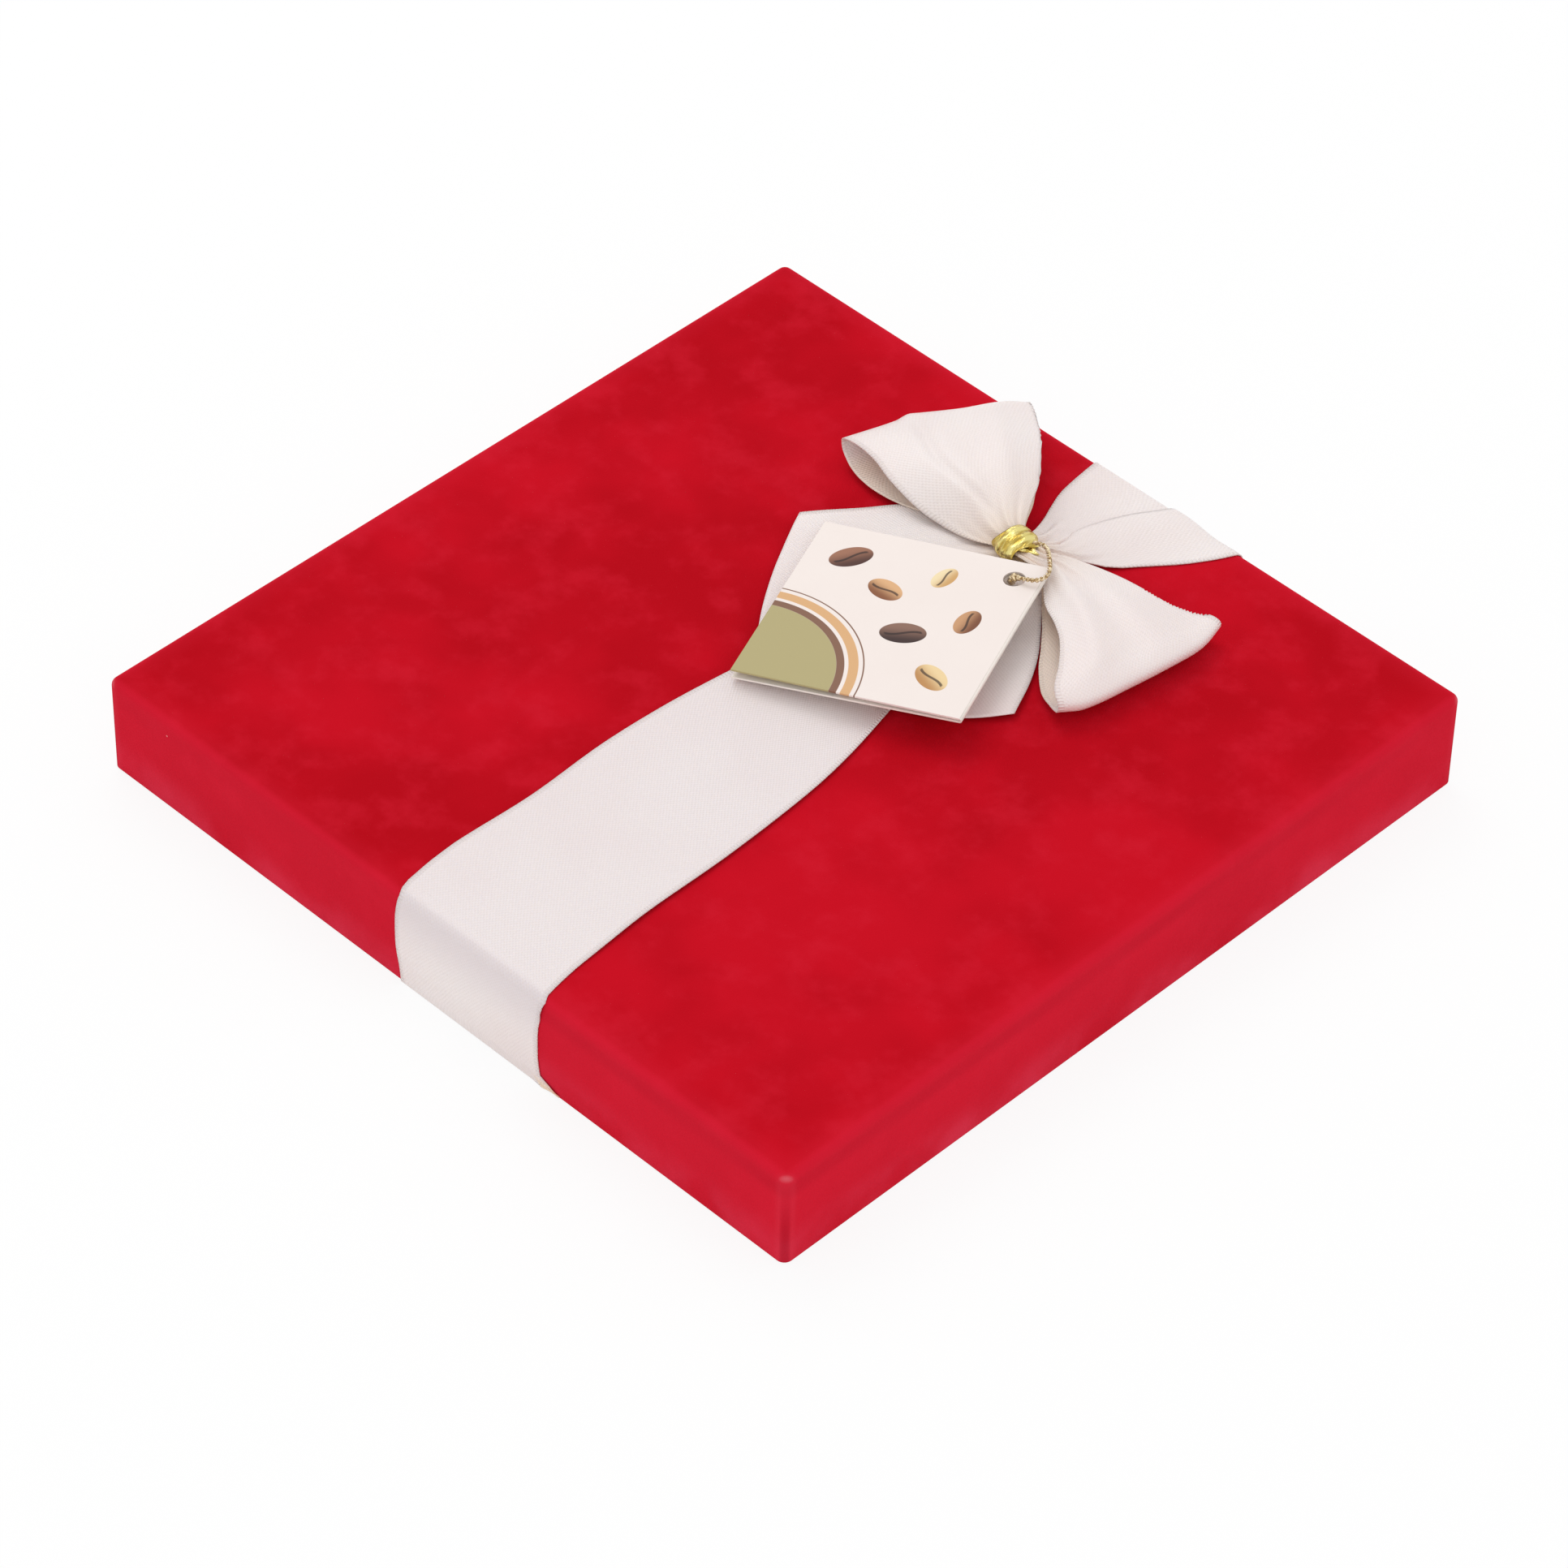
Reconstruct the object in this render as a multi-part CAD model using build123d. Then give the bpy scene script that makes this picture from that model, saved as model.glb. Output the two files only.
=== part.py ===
"""A flat square chocolate box: a flocked lid tied with a satin ribbon and bow, over a
paper-covered base with a moulded tray of pralines. Millimetres, Z up, origin at the
middle of the base's underside. The front, where the ribbon hangs widest, faces -Y."""

from build123d import *
from math import cos, radians, sin, tan
import os

os.makedirs("parts", exist_ok=True)

# Box walls, built up from board, cover paper and lining
box_side = 190.0
box_height = 23.6
rim_lift = 0.45
board_thick = 1.5
velvet_thick = 0.5
base_paper_thick = 0.2
lining_thick = 0.2
glue_gap = 0.15
stay_thick = 0.12
stay_leg = 18.0
stay_margin = 1.8
lid_corner_radius = 1.9
lid_edge_radius = 1.6
base_corner_radius = 1.2
base_edge_radius = 0.9
lid_turn_in = 12.0
base_turn_in = 10.0
lid_clearance = 0.9

# Tray, pralines and pad inside the base
tray_clearance = 0.5
tray_sheet = 0.5
tray_corner_radius = 3.0
tray_border = 3.9
cells_per_row = 5
cell_web = 4.5
cell_draft = 1.35
cell_corner_cut = 5.0
praline_play = 0.9
praline_proud = 2.0
pad_gap = 0.3
pad_thick = 3.1
pad_headroom = 0.6
pad_clearance = 0.8
pad_bevel = 1.0
pad_channels = 4
pad_channel_width = 2.0
pad_channel_depth = 0.9

# Ribbon and the tie that gathers it
ribbon_width = 40.0
ribbon_thick = 0.25
ribbon_gap = 0.1
ribbon_rim_bend = 0.38
ribbon_end_below_top = 7.6
tape_thick = 0.12
tape_gap = 0.03
tape_width = 52.0
tape_height = 13.0
tie_from_middle = 6.3
tie_from_back = 35.0
tie_angle = -17.0
tie_length = 7.0
tie_width = 9.8
tie_height = 7.0
tie_wall = 0.5
tie_rise = 1.3
turn_length = 4.2
turn_thick = 0.35
turn_slant = 9.0
foil_creases = 24
twist_length = 4.5
twist_width = 2.6
twist_tip_width = 1.0
twist_thick = 0.3
twist_root_across = -0.9
twist_tip_across = 0.7
twist_tip_rise = 0.3
twist_turn = 55.0
strap_length = 4.4
strap_gap = 0.08
neck_width = 5.0
neck_rise = 0.5
neck_clearance = 0.4

# Bow: two loops and two tails
loop_left_angle = 154.0
loop_right_angle = -7.3
loop_left_reach = 42.0
loop_right_reach = 45.0
loop_left_rise = 9.8
loop_right_rise = 8.6
bow_half_gap = 0.6
bow_lift = 0.3
tail_left_angle = -126.7
tail_right_angle = -61.7
tail_left_length = 56.0
tail_right_length = 50.0
tail_lift = 0.68
tail_root_rise = 1.6

# Tag: a card folded once and tied at one corner
tag_side = 48.8
tag_thick = 0.4
tag_left_of_tie = 1.34
tag_before_tie = 35.42
tag_rise = 5.9
tag_turn = 22.13
tag_tilt = 5.62
tag_fold_gap = 0.3
tag_gape = 1.4
tag_hole_diameter = 4.6
tag_hole_inset = 5.4
string_diameter = 1.0
string_sides = 8

# One overrun serves every cut
overrun = 5.0


def square_block(side, low, high, radius=0):
    """An upright square block, its four upright edges rounded where a radius is given."""
    outline = RectangleRounded(side, side, radius) if radius else Rectangle(side, side)
    return extrude(Pos(0, 0, low) * outline, amount=high - low)


def soft_block(side, low, high, corner_radius, edge_radius):
    """A square block whose upright edges and lower edges are rounded."""
    block = square_block(side, low, high, corner_radius)
    return fillet(block.faces().sort_by(Axis.Z)[0].edges(), edge_radius)


def rigid_shell(side, height, cover, corner_radius, edge_radius, turn_in):
    """Board, cover, lining and corner stays of one half of the box, standing on its
    closed face. The cover wraps the board, folds over the rim and turns in."""
    pocket_side = side - 2 * cover
    board_side = pocket_side - 2 * glue_gap
    inside = board_side - 2 * board_thick
    opening = inside - 2 * cover
    board_top = height - cover
    floor_top = cover + board_thick
    board_corner = corner_radius - cover - glue_gap
    inner_edge = edge_radius - cover

    board = soft_block(board_side, cover, board_top, board_corner, inner_edge)
    board -= square_block(inside, floor_top, board_top + overrun)

    wrap = soft_block(side, 0, height, corner_radius, edge_radius)
    wrap -= soft_block(pocket_side, cover, board_top, corner_radius - cover, inner_edge)
    wrap -= square_block(opening, board_top - cover, height + overrun)
    fold = square_block(inside, board_top - turn_in, board_top)
    wrap += fold - square_block(opening, board_top - turn_in - overrun, height)

    lining = square_block(inside, floor_top, board_top - turn_in)
    lining -= square_block(inside - 2 * lining_thick, floor_top + lining_thick, height)

    low, high = cover + stay_margin, board_top - stay_margin
    sleeve_side = board_side + 2 * stay_thick
    sleeve = square_block(sleeve_side, low, high, board_corner + stay_thick)
    sleeve -= square_block(board_side, low - overrun, high + overrun, board_corner)
    corner = extrude(Pos(0, 0, low) * Rectangle(stay_leg, stay_leg), amount=high - low)
    spread = sleeve_side - stay_leg
    corners = GridLocations(spread, spread, 2, 2)
    stays = Part() + [sleeve & (place * corner) for place in corners]
    return board, wrap, lining, stays


def wall_build_up(cover):
    """What one wall takes from the box's width: cover, glue, board and turned-in cover."""
    return cover + glue_gap + board_thick + cover


lid_opening = box_side - 2 * wall_build_up(velvet_thick)
base_side = lid_opening - 2 * lid_clearance
base_opening = base_side - 2 * wall_build_up(base_paper_thick)
base_height = box_height - velvet_thick - board_thick - lining_thick
inner_floor = base_paper_thick + board_thick + lining_thick


def make_box():
    """Both halves of the box, the lid upside down over the base."""
    base = rigid_shell(
        base_side, base_height, base_paper_thick, base_corner_radius, base_edge_radius, base_turn_in
    )
    lid = rigid_shell(
        box_side, box_height - rim_lift, velvet_thick, lid_corner_radius, lid_edge_radius, lid_turn_in
    )
    over = Pos(0, 0, box_height) * Rot(180, 0, 0)
    names = ("board", "cover", "lining", "corner_stays")
    pieces = {f"base_{name}": piece for name, piece in zip(names, base)}
    pieces.update({f"lid_{name}": over * piece for name, piece in zip(names, lid)})
    return pieces


def stacked(rings):
    """A flat-sided solid through rings of corners, given from the bottom up."""
    faces = [Face(Wire.make_polygon(rings[0])), Face(Wire.make_polygon(rings[-1]))]
    for low, high in zip(rings, rings[1:]):
        for i in range(len(low)):
            faces.append(Face(Wire.make_polygon([low[i - 1], low[i], high[i], high[i - 1]])))
    return Part() + Solid(Shell(faces))


def cut_square(side, cut, height):
    """The corners of a square with its own corners cut off."""
    half, short = side / 2, side / 2 - cut
    quarter = [(half, -short), (half, short)]
    corners = []
    for across, along in ((1, 0), (0, 1), (-1, 0), (0, -1)):
        corners += [(x * across - y * along, x * along + y * across, height) for x, y in quarter]
    return corners


def star(reach, height, points, waist_share=1, turn=0):
    """The corners of a star, or of a regular polygon where its waist is as wide as its points."""
    corners = []
    for i in range(points):
        out = reach * (waist_share if i % 2 else 1)
        angle = radians(turn + 360 * i / points)
        corners.append((out * cos(angle), out * sin(angle), height))
    return corners


tray_side = base_opening - 2 * tray_clearance
cell_spacing = (tray_side - 2 * tray_border) / cells_per_row
cell_mouth = cell_spacing - cell_web
cell_floor = cell_mouth - 2 * cell_draft
praline_width = cell_floor - 2 * praline_play
pad_top = base_height - pad_headroom
pad_low = pad_top - pad_thick
praline_floor = inner_floor + tray_sheet
praline_height = pad_low - pad_gap - praline_floor
deck_top = praline_floor + praline_height - praline_proud


def cell_centres():
    return GridLocations(cell_spacing, cell_spacing, cells_per_row, cells_per_row)


def make_tray():
    """One thin moulded sheet: a deck with a skirt, and a tapered cup for each praline."""
    deck_low = deck_top - tray_sheet
    tray = square_block(tray_side, inner_floor, deck_top, tray_corner_radius)
    inner_radius = tray_corner_radius - tray_sheet
    tray -= square_block(tray_side - 2 * tray_sheet, inner_floor - overrun, deck_low, inner_radius)
    wall = 2 * tray_sheet
    cup_foot = cut_square(cell_floor + wall, cell_corner_cut, inner_floor)
    cup = stacked([cup_foot, cut_square(cell_mouth + wall, cell_corner_cut, deck_top)])
    hollow_foot = cut_square(cell_floor, cell_corner_cut, praline_floor)
    hollow = stacked([hollow_foot, cut_square(cell_mouth, cell_corner_cut, deck_top)])
    tray += [place * cup for place in cell_centres()]
    return tray - [place * hollow for place in cell_centres()]


def praline_block():
    """A square moulded block: drafted sides, bevelled shoulder and a raised diamond."""
    w, h = praline_width, praline_height
    side_shares = [(1, 0), (0.9, 0.82), (0.78, 0.92)]
    body = stacked([cut_square(w * out, w * out * 0.16, h * up) for out, up in side_shares])
    crest_shares = [(0.24, 0.9), (0.2, 1.0)]
    return body + stacked([star(w * out, h * up, 4) for out, up in crest_shares])


def praline_dome():
    """A round shell, faceted as a dome with a foot and a small button on top."""
    w, h = praline_width, praline_height
    dome_shares = [(0.5, 0), (0.5, 0.2), (0.46, 0.48), (0.36, 0.76), (0.2, 0.93)]
    button_shares = [(0.1, 0.9), (0.08, 1.0)]
    dome = stacked([star(w * out, h * up, 16) for out, up in dome_shares])
    return dome + stacked([star(w * out, h * up, 8) for out, up in button_shares])


def praline_barrel():
    """A lying half-round bar with three grooves pressed across its back."""
    w, h = praline_width, praline_height
    half, shoulder = w * 0.36, h * 0.4
    arch = Polyline((-half, shoulder), (-half, 0), (half, 0), (half, shoulder))
    arch += ThreePointArc((half, shoulder), (0, h), (-half, shoulder))
    bar = extrude(Plane.XZ * make_face(arch), amount=w / 2, both=True)
    groove = Pos(0, 0, h) * Rot(0, 0, 90) * Rot(0, 45, 0) * Box(h * 0.14, w, h * 0.14)
    return bar - [Pos(0, step * w * 0.25, 0) * groove for step in (-1, 0, 1)]


def praline_rosette():
    """A fluted cone with a flat tip, as piped with a star nozzle."""
    w, h = praline_width, praline_height
    tier_shares = [(0.5, 0), (0.46, 0.34), (0.32, 0.7), (0.12, 1.0)]
    return stacked([star(w * out, h * up, 20, waist_share=0.82) for out, up in tier_shares])


def praline_gem():
    """A cut gem: an eight-sided girdle, a bevelled crown and a flat table."""
    w, h = praline_width, praline_height
    tier_shares = [(0.46, 0), (0.52, 0.5), (0.42, 0.86), (0.27, 1.0)]
    return stacked([star(w * out, h * up, 8, turn=22.5) for out, up in tier_shares])


praline_kinds = (
    ("block", praline_block),
    ("dome", praline_dome),
    ("barrel", praline_barrel),
    ("rosette", praline_rosette),
    ("gem", praline_gem),
)


def make_pralines():
    """Five rows of five, each row shifted by two kinds so that like ones lie apart."""
    models = [(name, build()) for name, build in praline_kinds]
    pieces = {}
    for i, place in enumerate(cell_centres()):
        column, row = divmod(i, cells_per_row)
        name, model = models[(column + 2 * row) % len(models)]
        on_floor = place * Pos(0, 0, praline_floor)
        pieces[f"praline_{row + 1}{column + 1}_{name}"] = on_floor * model
    return pieces


def make_pad():
    """A thin padded sheet over the pralines, quilted by pressed channels."""
    side = base_opening - 2 * pad_clearance
    pad = square_block(side, pad_low, pad_low + pad_thick)
    pad = chamfer(pad.faces().sort_by(Axis.Z)[-1].edges(), pad_bevel)
    half = pad_channel_width / 2
    vee = Polyline((-half, 0), (0, -pad_channel_depth), (half, 0), close=True)
    channel = extrude(Plane.XZ * make_face(vee), amount=side, both=True)
    spacing = side / (pad_channels + 1)
    for i in range(pad_channels):
        along = (i - (pad_channels - 1) / 2) * spacing
        lengthwise = Pos(along, 0, pad_low + pad_thick) * channel
        pad -= [lengthwise, Rot(0, 0, 90) * lengthwise]
    return pad


# The band's two edges from front to back, as shares of the box's side and of the ribbon's width
band_left_shares = [
    (-0.52, -0.256), (-0.5, -0.256), (-0.45, -0.295), (-0.41, -0.312), (-0.31, -0.298),
    (-0.2, -0.322), (-0.11, -0.31), (-0.026, -0.268), (0.08, -0.2), (0.21, -0.02),
]
band_right_shares = [
    (-0.52, 0.744), (-0.497, 0.744), (-0.416, 0.68), (-0.337, 0.677), (-0.221, 0.672),
    (-0.095, 0.63), (-0.025, 0.577), (0.047, 0.495), (0.13, 0.4), (0.24, 0.29),
]
fan_left_shares = [(0.378, 0.045), (0.41, -0.02), (0.435, -0.06), (0.498, -0.098), (0.52, -0.098)]
fan_right_shares = [(0.372, 0.38), (0.379, 0.5), (0.44, 0.71), (0.496, 0.902), (0.52, 0.902)]
# Where the neck starts and ends before and behind the tie, as shares of the tie's length
neck_shares = (-0.75, 0.75)
# Where the top run leaves and regains the lid, as shares of the tie's length
ramp_shares = (-2.0, -0.85, 0.85, 2.0)


def band_outline():
    """The band seen from above, narrowing to a neck under the bow."""

    def edge(shares):
        return [(x * ribbon_width, y * box_side) for y, x in shares]

    def neck(side):
        ends = [tie_y + share * tie_length for share in neck_shares]
        return [(tie_x + side * neck_width / 2, y) for y in ends]

    left = edge(band_left_shares) + neck(-1) + edge(fan_left_shares)
    right = edge(band_right_shares) + neck(1) + edge(fan_right_shares)
    return left + right[::-1]


def plan_cut(strip, outline):
    """What an outline, seen from above, leaves of a strip."""
    deep = 2 * box_height + overrun
    return strip & extrude(make_face(Polyline(outline, close=True)), amount=deep)


ribbon_off = ribbon_gap + ribbon_thick / 2
ribbon_end_length = box_height - ribbon_end_below_top
band_top = box_height + ribbon_off
tie_x = tie_from_middle
tie_y = box_side / 2 - tie_from_back
tie_base = box_height + tie_rise
tag_x = tie_x - tag_left_of_tie
tag_y = tie_y - tag_before_tie
tag_z = box_height + tag_rise


def make_band():
    """One ribbon: taped inside the front of the lid, under the rim, up the front, over
    the top through the tie, down the back and in again."""
    outer = box_side / 2 + ribbon_off
    inner = lid_opening / 2 - ribbon_off
    under = rim_lift - ribbon_off
    end = rim_lift + ribbon_end_length
    ramp = [tie_y + share * tie_length for share in ramp_shares]
    neck = band_top + neck_rise
    route = [(-inner, end), (-inner, under), (-outer, under), (-outer, band_top)]
    route += [(ramp[0], band_top), (ramp[1], neck), (ramp[2], neck), (ramp[3], band_top)]
    route += [(outer, band_top), (outer, under), (inner, under), (inner, end)]
    lid_bend = lid_edge_radius + ribbon_off
    rim, ramp_bend = [ribbon_rim_bend] * 2, [tie_length] * 4
    radii = rim + [lid_bend] + ramp_bend + [lid_bend] + rim
    line = FilletPolyline(route, radius=radii)
    strip = extrude(Plane.YZ * trace(line, ribbon_thick), amount=2 * ribbon_width, both=True)
    return plan_cut(strip, band_outline())


def make_tapes():
    """A strip of tape over each end of the band inside the lid."""
    front_centre = (band_left_shares[0][1] + band_right_shares[0][1]) / 2 * ribbon_width
    back_centre = (fan_left_shares[-1][1] + fan_right_shares[-1][1]) / 2 * ribbon_width
    depth = lid_opening / 2 - 2 * ribbon_off - tape_gap - tape_thick / 2
    middle = rim_lift + ribbon_end_length - tape_height / 4
    tape = Box(tape_width, tape_thick, tape_height)
    return {
        "ribbon_tape_front": Pos(front_centre, -depth, middle) * tape,
        "ribbon_tape_back": Pos(back_centre, depth, middle) * tape,
    }


def smooth_path(route):
    """Straight runs joined by tangent arcs, each as large as its two runs allow."""
    points = [Vector(*point) for point in route]
    radii = []
    for before, here, after in zip(points, points[1:], points[2:]):
        run = min((here - before).length, (after - here).length)
        turn = (here - before).get_angle(after - here)
        radii.append(0.45 * run / tan(radians(turn / 2)))
    return FilletPolyline(points, radius=radii), radii


def curved_strip(side):
    """A ribbon of full thickness along points given as distance out and height,
    broad enough for any outline to cut it."""
    line, _ = smooth_path(side)
    return extrude(Plane.XZ * trace(line, ribbon_thick), amount=ribbon_width, both=True)


def outline_points(shares, reach):
    return [(out * reach, across * ribbon_width) for out, across in shares]


# Each loop from the side, from the tie over the top and back, as shares of its reach and rise
loop_left_side_shares = [
    (0, 0.58), (0.19, 0.76), (0.42, 0.99), (0.68, 1.0), (0.89, 0.85), (1.0, 0.6),
    (0.99, 0.34), (0.87, 0.19), (0.7, 0.16), (0.52, 0.17), (0.34, 0.22), (0.17, 0.28), (0, 0.32),
]
loop_right_side_shares = [
    (0, 0.66), (0.17, 0.69), (0.35, 0.78), (0.54, 0.97), (0.73, 0.99), (0.9, 0.86), (1.0, 0.62),
    (0.99, 0.36), (0.88, 0.21), (0.72, 0.17), (0.54, 0.19), (0.36, 0.25), (0.18, 0.32), (0, 0.36),
]
# Each loop from above, as shares of its reach and of the ribbon's width
loop_left_plan_shares = [
    (0, 0.08), (0.1, 0.08), (0.17, 0.27), (0.26, 0.4), (0.42, 0.475), (0.6, 0.51),
    (0.8, 0.54), (1.05, 0.57), (1.05, -0.44), (0.92, -0.45), (0.7, -0.4), (0.47, -0.31),
    (0.17, -0.16), (0.1, -0.08), (0, -0.08),
]
loop_right_plan_shares = [
    (0, 0.08), (0.1, 0.08), (0.2, 0.06), (0.43, 0.1), (0.6, 0.2), (0.74, 0.29), (0.85, 0.41),
    (1.05, 0.44), (1.05, -0.57), (0.9, -0.54), (0.76, -0.435), (0.58, -0.31), (0.43, -0.22),
    (0.3, -0.14), (0.1, -0.08), (0, -0.08),
]
# Each tail from above, in the same way; it leaves the tie sideways and bends to the front
tail_left_plan_shares = [
    (0.034, 0.008), (0.055, -0.075), (0.13, -0.065), (0.2, 0.06), (0.45, 0.28), (0.8, 0.45),
    (1.0, 0.47), (0.96, 0.29), (0.875, -0.1), (0.79, -0.4), (0.745, -0.467), (0.52, -0.478),
    (0.334, -0.48), (0.143, -0.4), (0.036, -0.225), (-0.004, -0.105), (-0.025, -0.016),
]
tail_right_plan_shares = [
    (0.026, -0.028), (0.078, 0.035), (0.14, 0.005), (0.2, -0.07), (0.44, -0.22), (0.76, -0.3),
    (0.996, -0.298), (0.98, 0.062), (0.902, 0.292), (0.714, 0.305), (0.546, 0.292),
    (0.388, 0.255), (0.268, 0.215), (0.12, 0.162), (0.03, 0.105), (-0.02, 0.034),
]
# A tail from the side, as shares of its length and of the rise to its root
tail_side_shares = [(-0.1, 1.0), (0.05, 0.96), (0.14, 0.45), (0.24, 0.08), (0.4, 0), (1.1, 0)]


def at_tie(angle):
    return Pos(tie_x, tie_y, 0) * Rot(0, 0, angle)


def make_loop(angle, reach, rise, side_shares, plan_shares):
    """A ribbon loop that fans out from the tie, folds back at its end and returns."""
    floor = box_height + bow_lift
    side = [(bow_half_gap + out * reach, floor + up * rise) for out, up in side_shares]
    plan = [(out + bow_half_gap, across) for out, across in outline_points(plan_shares, reach)]
    return at_tie(angle) * plan_cut(curved_strip(side), plan)


def make_tail(angle, length, plan_shares):
    """A ribbon end that leaves the tie, drops to the lid and lies on it."""
    flat = box_height + ribbon_thick / 2 + tail_lift
    side = [(out * length, flat + up * tail_root_rise) for out, up in tail_side_shares]
    return at_tie(angle) * plan_cut(curved_strip(side), outline_points(plan_shares, length))


def foil_ring(width, height, wall, length):
    """An oval ring round the X axis, creased into flats as crushed foil is."""

    def oval(across, up):
        turns = [radians(360 * (i + 0.5) / foil_creases) for i in range(foil_creases)]
        corners = [(across / 2 * cos(turn), up / 2 * sin(turn)) for turn in turns]
        return make_face(Polyline(corners, close=True))

    outline = oval(width, height) - oval(width - 2 * wall, height - 2 * wall)
    return extrude(Plane.YZ * outline, amount=length / 2, both=True)


def make_tie():
    """Gold foil wound round the bow's waist, its second turn slanting over the first,
    one end twisted off to the side and a strap under the band's neck."""
    middle = tie_base + tie_height / 2
    tie = foil_ring(tie_width, tie_height, tie_wall, tie_length)
    lap = tie_wall / 2
    turn_wall = turn_thick + lap
    turn = foil_ring(tie_width + 2 * turn_thick, tie_height + 2 * turn_thick, turn_wall, turn_length)
    tie += Rot(0, 0, turn_slant) * turn
    root = Pos(0, twist_root_across, 0) * Rectangle(twist_thick, twist_width)
    tip_place = Pos(-twist_tip_rise, twist_tip_across, twist_length) * Rot(0, 0, twist_turn)
    twist = loft([root, tip_place * Rectangle(twist_thick, twist_tip_width)], ruled=True)
    top_wall = tie_height / 2 - tie_wall / 2
    tie += Pos(tie_length / 2 - lap, 0, top_wall) * Rot(0, 90, 0) * twist
    tie = at_tie(tie_angle) * Pos(0, 0, middle) * tie

    gap = neck_width + 2 * neck_clearance
    low = box_height + strap_gap
    outer = gap + 2 * tie_wall
    wing = tie_base + 2 * lap
    strap = extrude(Pos(0, 0, low) * Rectangle(outer, strap_length), amount=wing - low)
    hole_low = low + tie_wall / 2
    hole = extrude(Pos(0, 0, hole_low) * Rectangle(gap, strap_length + overrun), amount=tie_height)
    return tie + Pos(tie_x, tie_y, 0) * (strap - hole)


tag_across = (
    cos(radians(tag_turn)) * cos(radians(tag_tilt)),
    sin(radians(tag_turn)) * cos(radians(tag_tilt)),
    sin(radians(tag_tilt)),
)
tag_up = (
    -cos(radians(tag_turn)) * sin(radians(tag_tilt)),
    -sin(radians(tag_turn)) * sin(radians(tag_tilt)),
    cos(radians(tag_tilt)),
)
tag_plane = Plane(origin=(tag_x, tag_y, tag_z), x_dir=tag_across, z_dir=tag_up)


def tag_leaf():
    """One leaf of the card, its fold along +X, punched near the fold's upper corner."""
    leaf = extrude(Rectangle(tag_side, tag_side), amount=tag_thick / 2, both=True)
    reach = tag_side / 2 - tag_hole_inset
    punch = Pos(reach, reach, 0) * Cylinder(tag_hole_diameter / 2, tag_thick + overrun)
    return leaf - punch


def make_tag():
    """Both leaves; the lower one gapes from the fold."""
    half_fold = (tag_thick + tag_fold_gap) / 2
    fold = Pos(tag_side / 2, 0, -half_fold)
    lower = fold * Rot(0, -tag_gape, 0) * Pos(-tag_side / 2, 0, -half_fold)
    place = tag_plane.location
    fold_at = (place * fold).position
    fold_end = (place * fold * Pos(0, tag_side, 0)).position
    print("tag fold at", fold_at, "direction", (fold_end - fold_at) / tag_side)
    return {"tag_cover": place * tag_leaf(), "tag_back": place * lower * tag_leaf()}


# The string's route from the tie's place on the lid: out of the tie, round, over the card,
# down its hole and back below
string_route = [
    (3.9, 0.1, 7.9), (5.8, 0.9, 8.2), (7.9, 0.1, 8.7), (10.1, -1.8, 9.2), (12.6, -4.2, 9.7),
    (14.5, -6.8, 10.0), (14.1, -9.4, 9.9), (11.7, -10.7, 9.6), (9.3, -10.6, 8.4),
    (8.4, -10.5, 6.4), (6.8, -9.6, 4.9), (4.6, -7.6, 4.5), (2.5, -5.6, 4.6),
]


def make_string():
    """The cord that ties the card to the bow, a tube of straight runs and arcs."""
    path, radii = smooth_path(string_route)
    ring = RegularPolygon(string_diameter / 2, string_sides)
    ring = Plane(origin=path @ 0, z_dir=path % 0) * ring
    tube = sweep(ring, path=path)
    print("string length", round(path.length, 2), "radii", [round(r, 1) for r in radii])
    print("string volume", round(tube.volume, 3), "of", round(ring.area * path.length, 3))
    return Pos(tie_x, tie_y, box_height) * tube


def make_bow():
    """The band, its tapes, the bow's loops and tails, and the tie."""
    pieces = {"ribbon_band": make_band(), "bow_tie": make_tie()}
    pieces.update(make_tapes())
    pieces["bow_loop_left"] = make_loop(
        loop_left_angle, loop_left_reach, loop_left_rise, loop_left_side_shares, loop_left_plan_shares
    )
    pieces["bow_loop_right"] = make_loop(
        loop_right_angle, loop_right_reach, loop_right_rise, loop_right_side_shares, loop_right_plan_shares
    )
    pieces["bow_tail_left"] = make_tail(tail_left_angle, tail_left_length, tail_left_plan_shares)
    pieces["bow_tail_right"] = make_tail(tail_right_angle, tail_right_length, tail_right_plan_shares)
    return pieces


pieces = make_box()
pieces["praline_tray"] = make_tray()
pieces.update(make_pralines())
pieces["cushion_pad"] = make_pad()
pieces.update(make_bow())
pieces.update(make_tag())
pieces["tag_string"] = make_string()

for name, piece in pieces.items():
    piece.label = name
    export_step(piece, f"parts/{name}.step")
print(len(pieces), "nodes")
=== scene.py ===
"""A flat square box of chocolates under a flocked red lid, tied with an ivory satin bow
that carries a small folded card on a gold cord."""
from math import cos, exp, pi, radians, sin, tan

import bmesh
import bpy
from mathutils import Matrix, Vector, noise


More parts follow.
